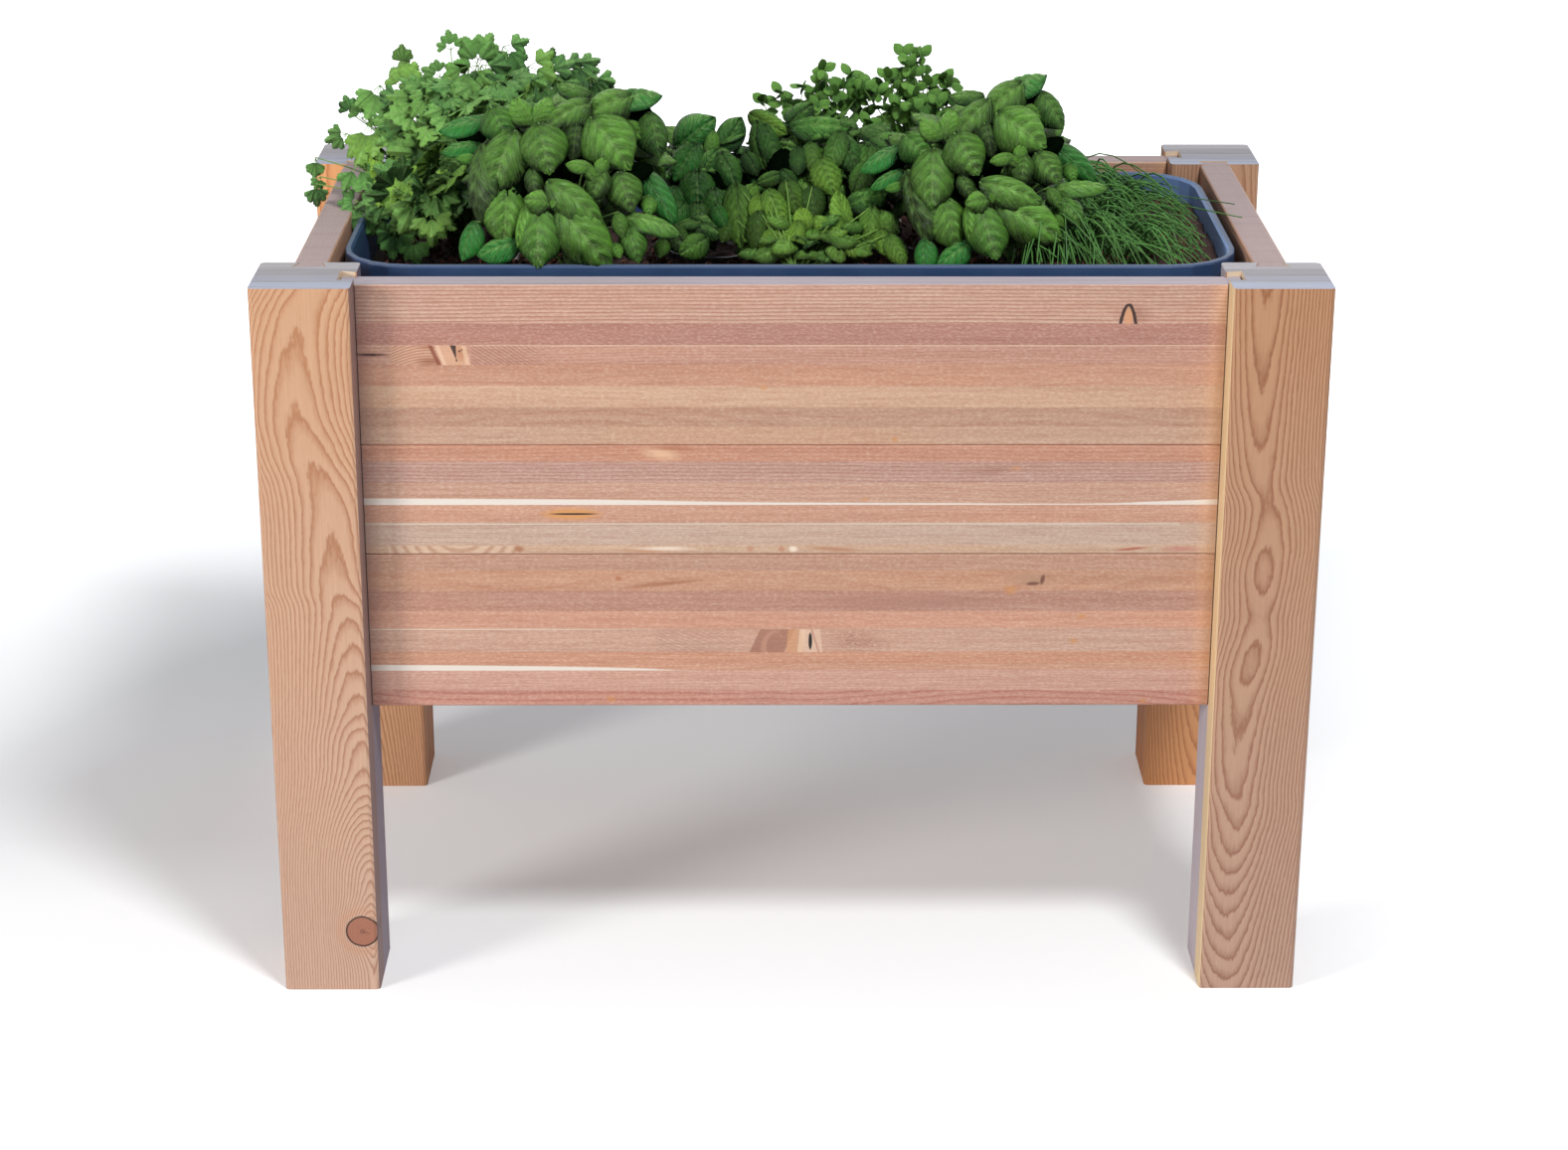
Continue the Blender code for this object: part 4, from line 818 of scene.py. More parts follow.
def front_bottom_board():
    plank = Plank("front_board_bottom", FRONT_STRIPS, 0, FRONT_FACE)
    low_z, high_z = 0.3467, 0.3709
    plank.stripe(0.3282, [(-0.41, 0.0066), (-0.30, 0.0058), (-0.15, 0.0030), (-0.06, 0.0), (0.0, 0.0),
                          (0.41, 0.0)])
    fading = plank.block(-0.41, -0.1, 0.3704, 0.3715) * plank.ellipse(-0.41, 0.371, 0.32, 0.02)
    plank.paint(fading, (232, 214, 192), 0.8)
    plank.spots(
        (-0.1650, 0.4231, 0.0045, 0.0034, 0.0, 0.7, (176, 106, 70), 0.85),
        (-0.1180, 0.4180, 0.0560, 0.0026, 0.10, 0.9, (156, 96, 62), 0.8),
        (0.2290, 0.4230, 0.0300, 0.0090, 0.0, 0.9, (178, 136, 108), 0.7),
    )
    hook = plank.math("MAXIMUM", plank.ellipse(0.2320, 0.4175, 0.0085, 0.0024, 0.05, 0.5),
                      plank.ellipse(0.2410, 0.4215, 0.0030, 0.0060, 0.9, 0.5))
    plank.crack(hook, (112, 68, 52), 0.9, 0.8)
    for x, z, size in ((0.2110, 0.4110, 0.0085), (0.2731, 0.3584, 0.0060), (0.2799, 0.3840, 0.0055),
                       (-0.1740, 0.2985, 0.0060), (0.3420, 0.2960, 0.0050)):
        plank.spots((x, z, size, size * 0.7, 0.0, 0.9, PITCH, 0.7))
    plank.spots((0.1100, 0.3990, 0.1150, 0.0110, 0.0, 0.7, (168, 118, 102), 0.55))
    plank.hatch(-0.1300, -0.0380, low_z, high_z, 0.45, 0.0036, (166, 118, 104), 0.35)
    plank.blocks(low_z, high_z, (-0.0410, -0.0060, 0.45, 0.0016, (150, 92, 72), 0.7))
    arc = plank.ellipse(-0.0190, 0.3570, 0.0110, 0.0140, 0.5, 0.25)
    inner = plank.ellipse(-0.0165, 0.3560, 0.0080, 0.0120, 0.5, 0.25)
    plank.paint(plank.block(-0.038, -0.005, low_z, high_z) * (arc - inner), (196, 142, 118), 0.6)
    plank.blocks(
        low_z, high_z,
        (-0.0050, 0.0060, 0.1, 0.0006, (206, 146, 104), 0.7),
        (0.0060, 0.0120, 0.1, 0.0006, (226, 184, 148), 0.8),
        (0.0120, 0.0310, -0.1, 0.0006, (228, 188, 160), 0.6),
        (0.0260, 0.0285, -0.3, 0.0006, (176, 108, 88), 0.6),
    )
    flame = plank.wave(plank.grain((70.0, 200.0, 150.0), 1.0, 0.5, 1.2) * 60.0)
    area = plank.ellipse(0.064, 0.359, 0.036, 0.016, 0.0, 0.7) * plank.block(0.02, 0.12, low_z, high_z)
    plank.paint(area * flame, (156, 104, 84), 0.7)
    plank.crack(plank.ellipse(0.0189, 0.3585, 0.0019, 0.0098, 0.0, 0.25), (22, 14, 12), 1.0)
    return plank.done()


def dress_walls():
    dress(["front_board_top"], front_top_board())
    dress(["front_board_middle"], front_middle_board())
    dress(["front_board_bottom"], front_bottom_board())
    for wall, seed, axis, face in (("rear", 5, 0, 0.264), ("left", 8, 1, -0.470), ("right", 13, 1, 0.470)):
        material = Plank("wall_" + wall, wall_strips(seed), axis, face).done(0.55)
        dress([name for name in NODES if name.startswith(wall + "_board")], material)
    floor_wood = Plank("floor_wood", wall_strips(21), 1, 0.0).done()
    ledger_wood = Plank("ledger_wood", wall_strips(23), 0, 0.2).done()
    dress([name for name in NODES if "slat" in name and "screw" not in name], floor_wood)
    dress([name for name in NODES if "ledger" in name and "screw" not in name], ledger_wood)


dress_walls()


# Soil surface

RIM_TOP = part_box("liner_tub")[1][2]
SOIL_LOW, SOIL_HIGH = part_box("soil_bed")
SOIL_HALF_X, SOIL_HALF_Y, _ = SOIL_HIGH
SOIL_DROP_LEFT = 0.0486
SOIL_DROP_RIGHT = 0.0226
POT_PLACE = (-0.076, 0.0075)
POT_RADIUS = 0.046
CRUMB_CLEARANCE = 0.006
CRUMB_TRIES = 2200
PERLITE_EVERY = 61
LUMP_SIDES = 6


def around(turn, x=1.0, y=1.0, z=0.0):
    """A point on a level ellipse, z above its middle."""
    return Vector((math.cos(turn) * x, math.sin(turn) * y, z))


def soil_height(x, y):
    """Level of the soil: lower at the left, with soft heaps and hollows."""
    share = 0.5 + 0.5 * x / SOIL_HALF_X
    drop = SOIL_DROP_LEFT + (SOIL_DROP_RIGHT - SOIL_DROP_LEFT) * share
    heaps = noise.noise(Vector((x * 14.0, y * 14.0, 3.0))) * 0.004
    return RIM_TOP - drop + heaps


def soil_outline(turn):
    """Edge of the soil in this direction: a rectangle with round corners."""
    power = 9.0
    across = abs(math.cos(turn) / SOIL_HALF_X) ** power + abs(math.sin(turn) / SOIL_HALF_Y) ** power
    reach = across ** (-1.0 / power)
    return around(turn, reach, reach)


# Herbs

VIEW_RIGHT = Vector((1.0, 0.0, 0.0))
VIEW_UP = Vector((0.0, math.sin(CAMERA_PITCH), math.cos(CAMERA_PITCH)))
VIEW_AWAY = Vector((0.0, math.cos(CAMERA_PITCH), -math.sin(CAMERA_PITCH)))
GOLDEN_ANGLE = math.pi * (3.0 - math.sqrt(5.0))
MM = 0.001
LEAF_THICKNESS = 0.0004
DROOP_START = 0.35
GROOVE_DEPTH = 0.035
GROOVE_WIDTH = 0.16

# Leaves of a bush: every third one inside, darker as painted shade, and every fourth on a stem of its own
BUSH_TOP = 0.97
INNER_EVERY = 3
INNER_SHELL = 0.58
OUTER_SHELL = (0.84, 1.0)
DEEP_INSIDE = 0.78
INNER_TONE = 0.35
STEM_EVERY = 4

# Point that the leaves of the mixed planting in the middle are measured from
MIDDLE = Vector((-0.014, 0.0, 0.760))


def seen(origin, right, up, nearer=0.0):
    """A point this many millimetres from origin, as one sees the planter from the front."""
    return origin + (VIEW_RIGHT * right + VIEW_UP * up - VIEW_AWAY * nearer) * MM


def pointing(degrees, nearer):
    """A direction this far round as one sees the planter, leaning to the eye."""
    angle = math.radians(degrees)
    return VIEW_RIGHT * math.cos(angle) + VIEW_UP * math.sin(angle) - VIEW_AWAY * nearer


def jitter(rng, x, y):
    """A small level step this way or that."""
    return Vector((rng.uniform(-x, x), rng.uniform(-y, y), 0.0))


def stretched(vector, factors):
    return Vector([part * factor for part, factor in zip(vector, factors)])


def fan(index, count, lowest):
    """How steeply and which way the next leaf of a bush lies, from its sides to its top."""
    return math.asin(lowest + (BUSH_TOP - lowest) * (index + 0.5) / count), index * GOLDEN_ANGLE


def basis(direction, normal):
    """Along, across and out of a leaf, for a leaf that points along direction."""
    along = direction.normalized()
    across = normal.cross(along)
    if across.length < 0.05:
        across = Vector((0.31, 0.52, 0.80)).cross(along)
    across.normalize()
    return along, across, along.cross(across)


def ovate(share):
    """Half width of a broad rounded leaf with a short tip, 0 at both ends."""
    round_part = math.sqrt(max(0.0, 1.0 - (2.0 * share ** 0.86 - 1.0) ** 2))
    return round_part * (1.0 - 0.30 * max(0.0, share - 0.84) / 0.16)


def oval(share):
    return math.sin(math.pi * share ** 0.92) ** 0.62


def toothed(share):
    """A broad leaf with a scalloped edge."""
    tooth = abs(math.sin(share * math.pi * 7.5))
    return ovate(share) * (0.90 + 0.14 * tooth)


# Reach of one parsley lobe's edge, from notch over its teeth to the next notch
LOBE_TEETH = (0.58, 0.84, 0.81, 0.95, 0.92, 1.0, 0.92, 0.95, 0.81, 0.84)
LOBES = 3
LOBES_SPREAD = 1.95
LOBE_CREASE = 0.036
SIDE_LOBE = 0.82


class Foliage:
    """One herb's leaves and stems, gathered into a single mesh."""

    def __init__(self, name, seed):
        self.name = name
        self.rng = random.Random(seed)
        self.points = []
        self.faces = []
        self.places = []
        self.tones = []

    def grid(self, rows, ups, places, tone, thickness=LEAF_THICKNESS):
        """A closed thin sheet through rows of points."""
        start = len(self.points)
        wide = len(rows[0])
        count = wide * len(rows)
        for side in (0.5, -0.5):
            for row, lifts, marks in zip(rows, ups, places):
                for point, lift, mark in zip(row, lifts, marks):
                    self.points.append(point + lift * (side * thickness))
                    self.places.append(mark)
                    self.tones.append(tone)

        def at(row, column, layer):
            return start + layer * count + row * wide + column

        for row in range(len(rows) - 1):
            for column in range(wide - 1):
                corners = (row, column), (row, column + 1), (row + 1, column + 1), (row + 1, column)
                self.faces.append([at(r, c, 0) for r, c in corners])
                self.faces.append([at(r, c, 1) for r, c in reversed(corners)])
        last = len(rows) - 1
        rim = [(0, c) for c in range(wide)] + [(r, wide - 1) for r in range(1, last + 1)]
        rim += [(last, c) for c in range(wide - 2, -1, -1)] + [(r, 0) for r in range(last - 1, 0, -1)]
        for (r0, c0), (r1, c1) in zip(rim, rim[1:] + rim[:1]):
            self.faces.append([at(r1, c1, 0), at(r0, c0, 0), at(r0, c0, 1), at(r1, c1, 1)])

    def leaf(self, base, direction, normal, length, width, shape=ovate, cup=0.7, droop=0.5,
             pucker=0.0, veins=5, tone=0.5, yellow=0.0, steps=12, sides=3):
        along, across, out = basis(direction, normal)
        rows, ups, places = [], [], []
        spine = Vector(base)
        for i in range(steps + 1):
            share = i / steps
            bend = droop * (share - DROOP_START)
            tangent = along * math.cos(bend) - out * math.sin(bend)
            up = out * math.cos(bend) + along * math.sin(bend)
            if i:
                spine = spine + tangent * (length / steps)
            half = 0.5 * width * shape(min(0.999, max(0.012, share))) * cup / math.sin(min(cup, 1.5))
            row, lifts, marks = [], [], []
            for j in range(-sides, sides + 1):
                part = j / sides
                arc = cup * part
                across_out = half * math.sin(arc) / cup
                down = half * (1.0 - math.cos(arc)) / cup
                groove = -GROOVE_DEPTH * width * math.exp(-((part / GROOVE_WIDTH) ** 2))
                wave = abs(math.sin(math.pi * (veins * (share - 0.45 * abs(part)) + 0.1)))
                swell = pucker * width * wave * (1.0 - abs(part) ** 3) * min(1.0, 6.0 * abs(part))
                row.append(spine + across * across_out + up * (groove + swell - down))
                lifts.append((up + across * (arc * 0.8)).normalized())
                marks.append((share, 0.5 + 0.5 * part))
            rows.append(row)
            ups.append(lifts)
            places.append(marks)
        self.grid(rows, ups, places, (tone, yellow))

    def lobed_leaf(self, base, direction, normal, length, tone=0.5, yellow=0.0):
        """A wedge-shaped leaf cut into toothed lobes, as parsley has."""
        along, across, out = basis(direction, normal)
        fold = self.rng.uniform(0.05, 0.45)
        curl = self.rng.uniform(-0.2, 0.7)
        steps = len(LOBE_TEETH) * LOBES
        rows, ups, places = [], [], []
        for ring in (0.06, 0.45, 0.74, 1.0):
            row, lifts, marks = [], [], []
            for i in range(steps + 1):
                angle = (i / steps - 0.5) * LOBES_SPREAD
                lobe = min(LOBES - 1, i // len(LOBE_TEETH))
                reach = LOBE_TEETH[i % len(LOBE_TEETH)] * (1.0 if lobe == LOBES // 2 else SIDE_LOBE)
                smooth = 0.80 + 0.20 * reach if ring < 0.9 else reach
                radius = length * smooth * ring
                x = radius * math.cos(angle)
                y = radius * math.sin(angle)
                crease = LOBE_CREASE * length * ring * math.cos(2.0 * math.pi * i / len(LOBE_TEETH))
                z = -fold * abs(y) - curl * x * x / length - crease
                row.append(base + along * x + across * y + out * z)
                lifts.append(out)
                marks.append((ring, 0.5 + 0.5 * math.sin(angle)))
            rows.append(row)
            ups.append(lifts)
            places.append(marks)
        self.grid(rows, ups, places, (tone, yellow))

    def stem(self, points, thick, thin, sides=5, tone=0.5, yellow=0.3):
        """A closed round stem through points, tapering from thick to thin."""
        start = len(self.points)
        last = len(points) - 1
        for i, point in enumerate(points):
            ahead = points[min(last, i + 1)] - points[max(0, i - 1)]
            along, across, out = basis(ahead, Vector((0.13, 0.9, 0.4)))
            radius = thick + (thin - thick) * i / last
            for j in range(sides):
                turn = 2.0 * math.pi * j / sides
                self.points.append(point + (across * math.cos(turn) + out * math.sin(turn)) * radius)
                self.places.append((i / last, 0.5))
                self.tones.append((tone, yellow))
        for i in range(last):
            for j in range(sides):
                k = (j + 1) % sides
                ring = start + i * sides
                self.faces.append([ring + j, ring + k, ring + sides + k, ring + sides + j])
        self.faces.append([start + j for j in reversed(range(sides))])
        self.faces.append([start + last * sides + j for j in range(sides)])

    def bent_stem(self, foot, tip, thick, thin, sag=0.0, steps=6, **looks):
        """A stem from foot to tip that first rises and then leans over."""
        middle = foot.lerp(tip, 0.5) + Vector((foot.x - tip.x, foot.y - tip.y, 0.0)) * 0.25
        middle.z += sag
        places = []
        for i in range(steps + 1):
            share = i / steps
            places.append(foot.lerp(middle, share).lerp(middle.lerp(tip, share), share))
        self.stem(places, thick, thin, **looks)
        return places

    def make(self, node_names, material):
        mesh = bpy.data.meshes.new(self.name)
        mesh.from_pydata(self.points, [], self.faces)
        for layer_name, values in (("leaf", self.places), ("tone", self.tones)):
            layer = mesh.uv_layers.new(name=layer_name)
            corners = [0] * len(mesh.loops)
            mesh.loops.foreach_get("vertex_index", corners)
            flat = [number for corner in corners for number in values[corner]]
            layer.uv.foreach_set("vector", flat)
        mesh.shade_smooth()
        mesh.set_sharp_from_angle(angle=math.radians(70.0))
        mesh.materials.append(material)
        piece = bpy.data.objects.new(self.name, mesh)
        bpy.context.scene.collection.objects.link(piece)
        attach(piece, "tub")
        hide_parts(*node_names)


LEAF_SHINE = 0.22
TROUGH_SHADE = 0.30
# SKY_SHARE: how much lighter a leaf is painted where it looks up, and darker where it looks down.
SKY_SHARE = 0.75


def leaf_material(name, dark, bright, yellow, vein, vein_count, gloss, bump, striation=26.0):
    """Leaf green that varies from leaf to leaf, with a midrib and side veins, and painted light and shade.
    """
    graph = Graph(name)
    along, side, _ = graph.marks("leaf")
    tone, pale, _ = graph.marks("tone")
    off = abs(side * 2.0 - 1.0)
    midrib = graph.math("SUBTRACT", 1.0, off * 14.0, clamp=True)
    near = abs(graph.fraction((along - off * 0.45) * vein_count + 0.1) - 0.5)
    rib = graph.rise(near, 0.42, 0.08)
    mottle = graph.grain((90.0, 90.0, 90.0), 3.0)
    fine = graph.grain((900.0, 900.0, 900.0), 2.0)
    # Painted light and shade by which way the surface looks.
    upward = graph.facing(2)
    share = tone * 0.8 + (mottle - 0.5) * 0.7 + (upward - 0.42) * SKY_SHARE
    green = graph.mix(pale, graph.mix(share, dark, bright), yellow)
    veins = graph.math("MAXIMUM", midrib * 0.8, rib * 0.35)
    sweep = along - graph.math("POWER", off, 0.8) * 0.62
    strokes = graph.join(sweep * striation, off * 3.0, tone * 60.0)
    brushed = graph.between(graph.noise(strokes, 1.0, 3.0), 0.44, 0.70, 0.10)
    trough = graph.math("POWER", near * 2.0, 2.0) * TROUGH_SHADE
    colour = graph.mix(trough, green, dark)
    # Pale strokes along the veins, strongest where the leaf looks up: painted sheen there.
    crest = graph.rise(upward, 0.58, 0.3)
    colour = graph.mix(brushed * (0.1 + crest * 0.34), colour, vein)
    colour = graph.mix(veins * 0.3, colour, vein)
    shade = graph.math("POWER", graph.math("SUBTRACT", 1.0, along, clamp=True), 3.0) * 0.6
    colour = graph.mix(shade, colour, dark)
    # Painted shade along the leaf's edges.
    edge = graph.rise(off, 0.8, 0.2)
    colour = graph.mix(edge * 0.6, colour, dark)
    # Painted shade: a leaf with a tone below -0.5 is black and has no shine, standing for the shade in a
    # hollow.
    hollow = graph.math("LESS_THAN", tone, -0.5)
    colour = graph.mix(hollow, colour, (6, 16, 6))
    height = veins * -1.0 + fine * 0.25 + brushed * 0.35 + graph.math("SINE", near * 6.28) * 0.2
    made = graph.finish(colour, gloss + mottle * 0.15, height, bump)
    graph.feed(graph.shader.inputs["Specular IOR Level"], (1.0 - hollow) * LEAF_SHINE)
    return made


def grow_bush(plant, root, centre, radii, count, length, shape, cup, pucker, tones, yellows=(0.0, 0.0),
              lowest=-0.45, veins=5, steps=10, sides=3, front=1.0):
    """Leaves all round a bush, outer ones over inner ones, on stems from the root."""
    rng = plant.rng
    for index in range(count):
        inner = INNER_SHELL if index % INNER_EVERY == 0 else rng.uniform(*OUTER_SHELL)
        lift, azimuth = fan(index, count, lowest)
        azimuth += rng.uniform(-0.3, 0.3)
        level = math.cos(lift)
        if math.sin(azimuth) < -0.2:
            inner *= front
        outward = around(azimuth, level, level, math.sin(lift))
        place = centre + stretched(outward, radii) * inner
        direction = around(azimuth, z=math.sin(lift) - rng.uniform(0.25, 0.75)) + jitter(rng, 0.4, 0.4)
        normal = outward + Vector((0.0, 0.0, 0.6))
        size = length * rng.uniform(0.65, 1.1)
        base = place - direction.normalized() * size * 0.4
        # Painted shade: leaves deep inside the bush are darker.
        tone = rng.uniform(*tones) * (INNER_TONE if inner < DEEP_INSIDE else 1.0)
        plant.leaf(base, direction, normal, size, size * rng.uniform(0.70, 0.88), shape, cup,
                   rng.uniform(0.3, 1.0), pucker, veins, tone, rng.uniform(*yellows), steps, sides)
        if index % STEM_EVERY == 0:
            plant.bent_stem(root, base, 0.0019, 0.0011, steps=5)


# One basil bush as the eye meets it, in millimetres from its middle and degrees: right, up and
# nearer, the way the tip points, length, width, turn about the leaf's length, tone and tint.
# A tone of -1 makes a black leaf without shine: painted shade in a hollow.
BASIL_FRONT = (
    (-56, 3, 74, -112, 58, 45, 8, 0.62, 0.0), (-82, -18, 56, -98, 74, 40, 52, 0.45, 0.0),
    (-54, -48, 66, -93, 54, 41, -6, 0.72, 0.0), (-17, 13, 88, -78, 46, 44, 0, 0.66, 0.0),
    (4, 48, 62, 205, 50, 34, 20, 0.5, 0.0), (10, 75, 30, 160, 34, 22, 40, 0.42, 0.1),
    (43, 57, 58, 200, 48, 38, 12, 0.56, 0.0), (66, 68, 44, 8, 48, 36, -52, 0.4, 0.6),
    (70, 52, 42, -25, 34, 24, 0, -1.0, 0.0), (45, 19, 80, -52, 58, 51, 0, 0.74, 0.0),
    (87, 31, 44, -74, 42, 32, -22, 0.52, 0.1), (65, 34, 48, -30, 26, 20, 0, 0.7, 0.0),
    (-61, 39, 56, -62, 35, 34, 0, 0.66, 0.2), (-38, 50, 56, 120, 30, 24, 18, 0.8, 0.0),
    (-22, 50, 56, 60, 30, 24, -18, 0.72, 0.0), (11, 20, 70, -96, 34, 23, 0, 0.34, 0.0),
    (21, -73, 92, -50, 72, 44, 4, 0.7, 0.0), (13, -39, 94, -34, 64, 34, -14, 0.62, 0.0),
    (-22, -39, 94, 170, 24, 23, 0, 0.7, 0.0), (-6, -40, 98, -120, 12, 9, 0, 0.9, 0.0),
    (0, -45, 98, -30, 11, 8, 0, 0.8, 0.0), (-22, -71, 90, -92, 54, 43, 6, 0.66, 0.1),
    (-38, -58, 84, -108, 42, 17, 40, 0.95, 0.0), (34, -22, 82, -115, 31, 23, 0, 0.55, 0.0),
    (59, -27, 74, -70, 37, 33, 0, 0.6, 0.0), (17, -4, 84, 170, 24, 15, 20, 0.8, 0.0),
    (37, -5, 82, 62, 18, 14, 0, 0.75, 0.0), (26, -12, 84, -60, 18, 12, 20, 0.7, 0.0),
    (-27, -19, 78, -82, 27, 17, 0, 0.45, 0.0), (83, -56, 66, -8, 58, 27, -48, 0.6, 0.1),
    (67, -77, 76, -72, 35, 25, 0, 0.65, 0.1), (55, -60, 84, -80, 23, 14, 0, 0.7, 0.0),
    (51, -84, 80, -60, 15, 13, 0, 0.85, 0.0), (-91, -72, 58, -112, 37, 25, 30, 0.55, 0.9),
    (-60, -80, 66, 195, 40, 27, 20, 0.45, 0.9), (-98, 44, 22, 190, 44, 28, 46, 0.35, 0.9),
    (-89, 34, 26, 195, 34, 22, 0, -1.0, 0.0), (-99, 20, 30, 187, 36, 18, 36, 0.45, 0.9),
    (-94, 8, 36, 176, 19, 11, 0, 1.0, 0.3), (89, -29, 52, -58, 56, 24, 10, 0.45, 0.8),
    (82, -40, 64, -90, 19, 15, 0, 0.95, 0.2), (-53, -27, 62, 200, 46, 18, 0, -1.0, 0.0),
    (-22, -6, 70, 190, 40, 22, 0, -1.0, 0.0), (24, 38, 56, 60, 30, 16, 0, -1.0, 0.0),
    (66, -8, 66, 190, 40, 18, 0, -1.0, 0.0), (6, 4, 60, -90, 44, 30, 0, -1.0, 0.0),
)


MAIN_STEMS = 9


def basil_bush(name, node, place, root, roll, scale, seed, material):
    """Both bushes share one habit: roll turns it as seen from the front."""
    plant = Foliage(name, seed)
    rng = plant.rng
    centre = Vector(place)
    root = Vector(root)
    swing = math.radians(roll)
    for right, up, nearer, tip, length, width, turn, tone, tint in BASIL_FRONT:
        across = (right * math.cos(swing) - up * math.sin(swing)) * scale
        rise = (right * math.sin(swing) + up * math.cos(swing)) * scale
        middle = seen(centre, across, rise, nearer * scale * 0.90)
        direction = pointing(tip + roll, rng.uniform(0.0, 0.15))
        facing = Matrix.Rotation(math.radians(turn), 3, direction) @ (VIEW_UP * 0.15 - VIEW_AWAY)
        long = length * scale * MM
        wide = width * scale * MM * 1.12
        base = middle - direction.normalized() * long * 0.5
        cup = rng.uniform(1.0, 1.3)
        plant.leaf(base, direction, facing, long * 1.10, wide, ovate, cup, rng.uniform(0.7, 1.2), 0.072, 5,
                   tone if tone < 0.0 else max(0.05, 0.60 + (tone - 0.55) * 1.8), tint, 20, 7)
        if tone > 0.0:
            plant.bent_stem(root.lerp(centre, 0.35), base, 0.0016, 0.0010, steps=5)
    middle = centre - Vector((0.0, -0.012, 0.012))
    # The filler leaves take dark tones: painted shade inside the bush.
    grow_bush(plant, root, middle, (0.092 * scale, 0.080 * scale, 0.078 * scale), 96, 0.050 * scale,
              ovate, 0.9, 0.06, (0.05, 0.45), steps=14, sides=4, front=0.66)
    for index in range(MAIN_STEMS):
        head = centre + around(index * GOLDEN_ANGLE, 0.05, 0.04, 0.03) * scale
        plant.bent_stem(root, head, 0.0030, 0.0020)
    plant.make([node], material)


# Leaves of the young basil in the nursery pot, from the middle of the mixed planting
YOUNG_BASIL_LEAVES = (
    (-79, 35, 14, 35, 48, 36, 24, 0.55, 0.8), (-63, 23, 24, 80, 27, 15, 0, 0.95, 0.1),
    (-43, 33, 14, 60, 37, 27, 20, 0.4, 0.4), (-89, 4, 34, -122, 42, 33, 10, 0.5, 0.7),
    (-77, -30, 46, -90, 48, 37, 0, 0.35, 0.4), (-46, -6, 40, -64, 40, 27, 0, 0.4, 0.3),
    (-65, 4, 38, 60, 28, 20, 0, 0.45, 0.4), (-120, -4, 24, -60, 28, 23, 0, 0.6, 0.1),
    (-85, -60, 64, -175, 30, 16, 30, 0.2, 0.2), (-54, -54, 64, -60, 27, 17, 0, 0.5, 0.8),
    (-60, -22, 42, -90, 30, 16, 0, -1.0, 0.0), (-98, -52, 60, -130, 32, 24, 0, 0.45, 0.6),
    (-80, -84, 78, -150, 31, 27, 0, 0.8, 0.1), (-111, -86, 78, -100, 18, 16, 0, 0.9, 0.0),
    (-95, -77, 74, -60, 29, 23, 0, 0.25, 0.0), (-66, -64, 62, -20, 38, 26, 0, 0.3, 0.2),
    (-92, -66, 60, 200, 36, 26, 0, 0.28, 0.3), (-58, -44, 50, -80, 40, 30, 0, 0.34, 0.3),
    (-104, -40, 50, -110, 36, 26, 0, 0.4, 0.5), (-76, -56, 56, -90, 36, 28, 0, 0.22, 0.2),
)


def add_basils():
    material = leaf_material(
        "basil_leaf", (4, 24, 4), (106, 164, 56), (28, 126, 46),
        (178, 214, 130), 5, 0.26, 0.0012, 34.0,
    )
    basil_bush("basil_bush_left", "basil_left", (-0.217, -0.085, 0.779), (-0.213, -0.093, 0.668),
               0, 1.0, 21, material)
    basil_bush("basil_bush_right", "basil_right", (0.187, -0.050, 0.773), (0.218, -0.058, 0.681),
               19, 0.93, 22, material)
    plant = Foliage("basil_young", 23)
    root = Vector((-0.076, 0.0075, 0.675))
    centre = Vector((-0.080, 0.010, 0.742))
    for leaf in YOUNG_BASIL_LEAVES:
        middle_leaf(plant, leaf, ovate, root)
    grow_bush(plant, root, centre, (0.050, 0.050, 0.058), 70, 0.042, ovate, 0.8, 0.06, (0.0, 0.5),
              (0.0, 0.6), steps=14, sides=4, front=0.85)
    plant.bent_stem(root, centre, 0.0024, 0.0016)
    plant.make(["basil_small"], material)


